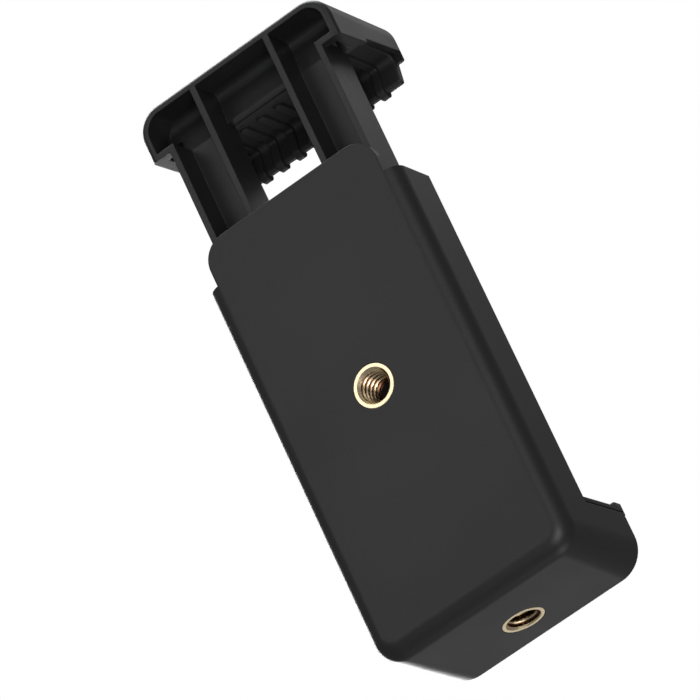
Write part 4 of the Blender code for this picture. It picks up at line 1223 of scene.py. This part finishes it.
def lip_height(x):
    """Full height in the middle, a slope, and a low ridge beyond it."""
    ridge = lower_face(LIP_BACK) + RIDGE_HEIGHT
    share = (abs(x) - SLOPE_TOP) / (SLOPE_FOOT - SLOPE_TOP)
    return max(ridge, min(UNCUT, LOWER_TIP + share * (ridge - LOWER_TIP)))


def lower_face_path():
    start = LIP_BACK - LOWER_TURN
    path = [(LOWER_BACK, lower_face(LOWER_BACK))]
    path += arc((start, lower_face(start) + LOWER_TURN), LOWER_TURN, -90, 0, 40)
    path += arc((LIP_BACK + TIP_ROUND, LOWER_TIP - TIP_ROUND), TIP_ROUND, 180, 90, 12)
    path += arc((LIP_FRONT - TIP_ROUND, LOWER_TIP - TIP_ROUND), TIP_ROUND, 90, 0, 12)
    hook = FRONT - HOOK_DEPTH + SEAT_GAP
    return path + [(LIP_FRONT, lower_pad_bottom(hook) - HOOK_DROP)]


def lower_return_path():
    hook = FRONT - HOOK_DEPTH + SEAT_GAP
    low = lower_pad_bottom(hook) - HOOK_DROP
    ends = [(LIP_FRONT, low), (hook, low), (hook, lower_pad_bottom(hook))]
    return ends + [(LOWER_BACK, lower_pad_bottom(LOWER_BACK)), (LOWER_BACK, lower_face(LOWER_BACK))]


cover_front = COVER_HIGH.y
lower_flat = LIP_BACK - LOWER_TURN - cover_front
lower_start = cover_front + RIB_START * lower_flat - LOWER_BACK
lower_paths = (lower_face_path(), lower_return_path())
lower_shape = pad_grid(*lower_paths, LOWER_SIDE, lower_start, 1, lip_height)
lower_pad = new_piece("rubber_lower_pad", lower_shape)
shade(lower_pad, 50)
put_in_place(lower_pad, rubber, "pad_rubber", "housing", "lower_pad")

# %% [markdown]
# A tripod screw has a quarter inch thread with 20 turns to the inch. The brass inserts have the same
# thread inside. The bore is a grid round the axis: its radius depends on the height and, through the
# helix, on the angle. A screw modifier could sweep a thread profile too, but a grid closes cleanly
# against the insert's end faces.

# %% Threaded inserts
THREAD_PITCH = 0.00127
THREAD_CREST = 0.00262
THREAD_ROOT = 0.00318
THREAD_FLAT = 0.10         # half of a crest's or a root's flat, in turns
THREAD_FLANK = 0.32        # height of one flank, in turns
RING_INSIDE = 0.0033       # where the flat ring at each end turns into the thread
INSERT_CHAMFER = 0.0001
DARK_ROOTS_FROM = 0.15            # share of the thread's depth where the darkening begins
DARK_ROOTS_SPREAD = 0.45          # share over which it grows from nothing to full
BORE_SHADE_DEPTH = 0.0058         # depth in the bore where painted shade covers the crests too
BORE_SHADE_BLEND = 0.0008
ROUND_THE_AXIS = 96
ALONG_THE_THREAD = 132


def thread_radius(turned, height):
    """A 60 degree thread with flats on its crests and in its roots."""
    phase = (height / THREAD_PITCH - turned) % 1.0
    rise = min(1.0, max(0.0, (abs(phase - 0.5) - THREAD_FLAT) / THREAD_FLANK))
    return THREAD_CREST + (THREAD_ROOT - THREAD_CREST) * rise


def insert_rows(half):
    """Heights and radii from the outer wall, over an end face, down the thread to the other end."""
    rim = INSERT_RADIUS - INSERT_CHAMFER
    outer = [(-half + INSERT_CHAMFER, INSERT_RADIUS), (-half, rim)]
    bore = [(-half + 2 * half * index / ALONG_THE_THREAD, None) for index in range(ALONG_THE_THREAD + 1)]
    return outer + bore + [(half, rim), (half - INSERT_CHAMFER, INSERT_RADIUS)]


def dark_roots_and_bore_shade_mask(radius, depth_in_bore):
    """One in the thread's roots, where the colour is darker, and at the bore's inner end, as painted shade;
    zero on the crests.
    """
    root = (radius - THREAD_CREST) / (THREAD_ROOT - THREAD_CREST)
    inner = (depth_in_bore - BORE_SHADE_DEPTH) / BORE_SHADE_BLEND
    return max(smooth_step((root - DARK_ROOTS_FROM) / DARK_ROOTS_SPREAD), smooth_step(inner))


def threaded_insert(half, open_end):
    """The whole insert; open_end is 1 or -1, the end that is seen. A layer holds the mask for the darker
    roots and the painted shade deep in the bore.
    """
    shape = bmesh.new()
    dark_layer = shape.verts.layers.float.new("dark_roots_and_bore_shade")
    rings = []
    for height, radius in insert_rows(half):
        ring = []
        for index in range(ROUND_THE_AXIS):
            angle = 2 * math.pi * index / ROUND_THE_AXIS
            from_end = min(height + half, half - height)
            opened = RING_INSIDE - from_end
            here = radius or max(thread_radius(index / ROUND_THE_AXIS, height), opened)
            corner = shape.verts.new((here * math.cos(angle), here * math.sin(angle), height))
            # The layer darkens the roots and paints shade deep in the bore.
            if radius is None and here > opened:
                corner[dark_layer] = dark_roots_and_bore_shade_mask(here, half - open_end * height)
            ring.append(corner)
        rings.append(ring)
    for ring, after in zip(rings, rings[1:] + rings[:1]):
        skin(shape, ring, after)
    return shape


def add_insert(name, solid, to_back):
    insert_low, insert_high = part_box(solid)
    half = (insert_high - insert_low).y / 2 if to_back else (insert_high - insert_low).z / 2
    insert = new_piece(name, threaded_insert(half, 1 if to_back else -1))
    turn = Matrix.Rotation(math.radians(90), 4, "X") if to_back else Matrix.Identity(4)
    insert.data.transform(Matrix.Translation((insert_low + insert_high) / 2) @ turn)
    shade(insert, 28)
    put_in_place(insert, brass, "insert_brass", "housing", solid)
    print("its thread has", round(2 * half / THREAD_PITCH, 1), "turns")


add_insert("threaded_back_insert", "back_insert", True)
add_insert("threaded_bottom_insert", "bottom_insert", False)

# %% [markdown]
# The cover's screws have low round heads with a cross recess. The profile is turned about the axis,
# and the recess is cut with two crossed tapered bars.

# %% Screws
SCREW_HEAD_RADIUS = 0.0019
SCREW_DOME = 0.0006        # height of the head's dome
SCREW_HEAD_BOTTOM = -0.0009
SHANK_RADIUS = 0.0010
SHANK_END = -0.0069
POINT_RADIUS = 0.0005
SCREW_END = -0.0079
RECESS_LONG = 0.0011
RECESS_NARROW = 0.0002
RECESS_TOP = 0.0005
RECESS_BOTTOM = -0.0006


def turned_shape(profile, steps=48):
    """Turns (radius, height) rows about Z; a row with no radius closes an end."""
    shape = bmesh.new()
    angles = [2 * math.pi * index / steps for index in range(steps)]
    circle = [(math.cos(angle), math.sin(angle)) for angle in angles]
    rings = []
    for radius, height in profile:
        if radius == 0:
            rings.append([shape.verts.new((0, 0, height))])
        else:
            rings.append([shape.verts.new((radius * x, radius * y, height)) for x, y in circle])
    for first, second in zip(rings, rings[1:]):
        for index in range(steps):
            following = (index + 1) % steps
            corners = [first[index % len(first)], first[following % len(first)]]
            corners += [second[following % len(second)], second[index % len(second)]]
            shape.faces.new(list(dict.fromkeys(corners)))
    return shape


def screw_profile():
    """From the top of the domed head down to the point."""
    angles = [math.radians(15 * index) for index in range(1, 7)]
    profile = [(0.0, 0.0)]
    profile += [(SCREW_HEAD_RADIUS * math.sin(a), SCREW_DOME * (math.cos(a) - 1)) for a in angles]
    profile += [(SCREW_HEAD_RADIUS, SCREW_HEAD_BOTTOM), (SHANK_RADIUS, SCREW_HEAD_BOTTOM)]
    return profile + [(SHANK_RADIUS, SHANK_END), (POINT_RADIUS, SCREW_END), (0.0, SCREW_END)]


def cross_recess():
    """Two crossed bars that get shorter and narrower towards the bottom."""
    shape = bmesh.new()
    square = ((-1, -1), (1, -1), (1, 1), (-1, 1))
    for wide, tall in ((RECESS_LONG, RECESS_NARROW), (RECESS_NARROW, RECESS_LONG)):
        top = [shape.verts.new((a * wide, b * tall, RECESS_TOP)) for a, b in square]
        low = [shape.verts.new((a * wide * 0.5, b * tall * 0.8, RECESS_BOTTOM)) for a, b in square]
        shape.faces.new(top)
        shape.faces.new(low)
        skin(shape, top, low)
    return shape


def stand_along_y(piece, place):
    """Turns a piece made about Z so that it points along Y, and puts its origin at a place."""
    piece.data.transform(Matrix.Translation(place) @ Matrix.Rotation(math.radians(-90), 4, "X"))


for name, (x, z) in zip(SCREW_NAMES, SCREW_PLACES):
    screw = new_piece("turned_" + name, turned_shape(screw_profile()))
    combine(screw, cross_recess(), "DIFFERENCE", overlapping=True)
    stand_along_y(screw, (x, COVER_HIGH.y, z))
    shade(screw, 35)
    put_in_place(screw, black_steel, "screw_steel", "housing", name)

# %% [markdown]
# Each leg hides a tension spring that pulls the jaw shut. A curve with a round bevel is the easiest
# way to make a wire; it is turned into a mesh. The real coil gets shorter with the slide. The coils
# grow out of the axis, where the hooks begin.

# %% Springs
SPRING_Y = (LEG_BACK + WEB_BACK) / 2
SPRING_RADIUS = 0.0022
WIRE_RADIUS = 0.0003
HOOK_RADIUS = 0.0017
HOOK_NECK = 0.0012
HOOK_START = 50            # degrees
HOOK_SWEEP = 310
HOOK_STEPS = 24
SPRING_TURNS = 18
POINTS_PER_TURN = 20


def hook(x, z, up):
    """A hook round a pin, ending on the spring's axis; up is 1 under the coils and -1 over them."""
    points = []
    for index in range(HOOK_STEPS + 1):
        angle = math.radians(HOOK_START + HOOK_SWEEP * index / HOOK_STEPS)
        points.append((x + HOOK_RADIUS * math.sin(angle), SPRING_Y, z + up * HOOK_RADIUS * math.cos(angle)))
    return points


def coils(x, spring_low, spring_high):
    points = []
    count = SPRING_TURNS * POINTS_PER_TURN
    for index in range(1, count):
        grown = min(1.0, 2 * index / POINTS_PER_TURN, 2 * (count - index) / POINTS_PER_TURN)
        angle = 2 * math.pi * index / POINTS_PER_TURN
        z = spring_low + (spring_high - spring_low) * index / count
        radius = SPRING_RADIUS * grown
        points.append((x + radius * math.cos(angle), SPRING_Y + radius * math.sin(angle), z))
    return points


def wire_mesh(name, points):
    curve = bpy.data.curves.new(name, "CURVE")
    curve.dimensions = "3D"
    curve.bevel_depth = WIRE_RADIUS
    curve.bevel_resolution = 3
    curve.use_fill_caps = True
    spline = curve.splines.new("POLY")
    spline.points.add(len(points) - 1)
    for point, place in zip(spline.points, points):
        point.co = (*place, 1.0)
    path = bpy.data.objects.new(name + "_path", curve)
    bpy.context.scene.collection.objects.link(path)
    bpy.context.view_layer.update()
    mesh = bpy.data.meshes.new_from_object(path.evaluated_get(bpy.context.evaluated_depsgraph_get()))
    bpy.data.objects.remove(path, do_unlink=True)
    wire = bpy.data.objects.new(name, mesh)
    bpy.context.scene.collection.objects.link(wire)
    mesh.shade_smooth()
    return wire


for side, word in ((-1, "left"), (1, "right")):
    x = side * LEG_MIDDLE
    points = hook(x, HOUSING_PIN_Z, 1)
    points += coils(x, HOUSING_PIN_Z + HOOK_RADIUS + HOOK_NECK, LEG_PIN_Z - HOOK_RADIUS - HOOK_NECK)
    points += list(reversed(hook(x, LEG_PIN_Z, -1)))
    spring = wire_mesh(word + "_wire_spring", points)
    put_in_place(spring, spring_steel, "spring_steel", "housing", word + "_spring")
    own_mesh(spring)

# %% [markdown]
# The four pins that the springs hook on are short turned rods with chamfered ends, the same shape as
# the solids, made again with a rounder section.

# %% Pins
def pin_profile(length):
    chamfer = 0.0003
    return [(0.0, length), (PIN_RADIUS - chamfer, length), (PIN_RADIUS, length - chamfer),
            (PIN_RADIUS, chamfer), (PIN_RADIUS - chamfer, 0.0), (0.0, 0.0)]


for name in ("left_housing_pin", "right_housing_pin", "left_leg_pin", "right_leg_pin"):
    pin_low, pin_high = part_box(name)
    pin = new_piece("turned_" + name, turned_shape(pin_profile(pin_high.y - pin_low.y), 40))
    stand_along_y(pin, (middle_of(name).x, pin_low.y, middle_of(name).z))
    shade(pin, 35)
    put_in_place(pin, spring_steel, "spring_steel", "jaw" if "leg" in name else "housing", name)

# %% [markdown]
# The clamp stands on a pale floor, but the main camera looks up at it from below the floor's level.
# The floor could be left out, yet other views need it for the shadow. So its material shows only to
# a camera that looks down on it. From below, and for light on its way, it is clear: a mirror ray or
# a shadow is never stopped by a floor that the picture doesn't show.

# %% Floor
def floor_material():
    """Pale where the camera looks down on it; for every other ray it isn't there."""
    material = bpy.data.materials.new("pale_floor")
    material.use_nodes = True
    nodes = material.node_tree.nodes
    link = material.node_tree.links.new
    shader = nodes["Principled BSDF"]
    shader.inputs["Base Color"].default_value = (0.80, 0.80, 0.80, 1.0)
    shader.inputs["Roughness"].default_value = 0.8
    clear = nodes.new("ShaderNodeBsdfTransparent")
    side = nodes.new("ShaderNodeNewGeometry")
    path = nodes.new("ShaderNodeLightPath")
    seen = nodes.new("ShaderNodeMath")
    seen.operation = "SUBTRACT"
    seen.use_clamp = True
    mix = nodes.new("ShaderNodeMixShader")
    link(path.outputs["Is Camera Ray"], seen.inputs[0])
    link(side.outputs["Backfacing"], seen.inputs[1])
    link(seen.outputs[0], mix.inputs["Fac"])
    link(clear.outputs["BSDF"], mix.inputs[1])
    link(shader.outputs["BSDF"], mix.inputs[2])
    link(mix.outputs["Shader"], nodes["Material Output"].inputs["Surface"])
    return material


def make_floor():
    shape = bmesh.new()
    bmesh.ops.create_grid(shape, x_segments=1, y_segments=1, size=3.0)
    mesh = bpy.data.meshes.new("floor")
    shape.to_mesh(mesh)
    shape.free()
    mesh.materials.append(floor_material())
    floor = bpy.data.objects.new("floor", mesh)
    bpy.context.scene.collection.objects.link(floor)
    return floor


floor = make_floor()
print("floor is, m:", [round(side, 1) for side in floor.dimensions])

# %% [markdown]
# A product like this is lit with large soft boxes. Black plastic shows them as soft grey on its flats
# and as a brighter band on its rounded edges, and polished brass shows the boxes themselves. So one box
# stands where the back's ring mirrors it to the camera, and a weak one where the foot's ring does. The
# rest fill the sides, the top, the front and the underside.

# %% Light
CLAMP_MIDDLE = Vector((0, 0, 0.057))
LIGHTS = (  # name, place, size across in metres, power in watts
    ("back_ring_box", (-0.24, -0.59, 0.34), 0.30, 0.40),
    ("low_right_box", (0.14, -0.33, -0.10), 0.20, 0.50),
    ("high_right_box", (0.28, -0.48, 0.32), 0.50, 0.50),
    ("front_high_box", (0.20, 0.42, 0.42), 0.22, 0.13),
    ("foot_ring_box", (-0.18, 0.42, -0.16), 0.15, 0.035),
    ("under_box", (0.06, 0.06, -0.45), 0.30, 0.40),
    ("phone_side_box", (-0.32, 0.52, 0.25), 0.50, 5.0),
    ("top_box", (-0.12, 0.16, 0.70), 0.60, 6.0),
)


def area_light(name, place, size, power):
    """A soft box that faces the middle of the clamp."""
    data = bpy.data.lights.new(name, "AREA")
    data.shape = "DISK"
    data.size = size
    data.energy = power
    lamp = bpy.data.objects.new(name, data)
    bpy.context.scene.collection.objects.link(lamp)
    lamp.location = place
    lamp.rotation_euler = (CLAMP_MIDDLE - Vector(place)).to_track_quat("-Z", "Y").to_euler()


for name, place, size, power in LIGHTS:
    area_light(name, place, size, power)
    print(name, power, "W")

# %% [markdown]
# Behind everything is an even white studio wall. The world can be that wall: the camera sees it at a
# strength of one, which is white, and so would a ray through something clear. Mirror rays see it too,
# so that the brass has something to show, but only a share of it, or the black plastic would turn grey.
# For all other rays the world is just a faint fill.

# %% World
FILL = 0.03                # strength of the world for diffuse rays
MIRRORED_SHARE = 0.15      # share of the white wall that mirror rays see


def set_world():
    world = bpy.data.worlds.new("studio")
    bpy.context.scene.world = world
    world.use_nodes = True
    nodes = world.node_tree.nodes
    link = world.node_tree.links.new
    light = nodes["Background"]
    light.inputs["Color"].default_value = (1.0, 1.0, 1.0, 1.0)
    light.inputs["Strength"].default_value = FILL
    seen = nodes.new("ShaderNodeBackground")
    seen.inputs["Color"].default_value = (1.0, 1.0, 1.0, 1.0)
    seen.inputs["Strength"].default_value = 1.0
    path = nodes.new("ShaderNodeLightPath")
    direct = nodes.new("ShaderNodeMath")
    direct.operation = "MAXIMUM"
    share = nodes.new("ShaderNodeMath")
    share.operation = "MULTIPLY_ADD"
    share.use_clamp = True
    share.inputs[1].default_value = MIRRORED_SHARE
    mix = nodes.new("ShaderNodeMixShader")
    link(path.outputs["Is Camera Ray"], direct.inputs[0])
    link(path.outputs["Is Transmission Ray"], direct.inputs[1])
    link(path.outputs["Is Glossy Ray"], share.inputs[0])
    link(direct.outputs[0], share.inputs[2])
    link(share.outputs[0], mix.inputs["Fac"])
    link(light.outputs["Background"], mix.inputs[1])
    link(seen.outputs["Background"], mix.inputs[2])
    link(mix.outputs["Shader"], nodes["World Output"].inputs["Surface"])


set_world()
bpy.context.scene.view_settings.view_transform = "Standard"
print("view transform:", bpy.context.scene.view_settings.view_transform)
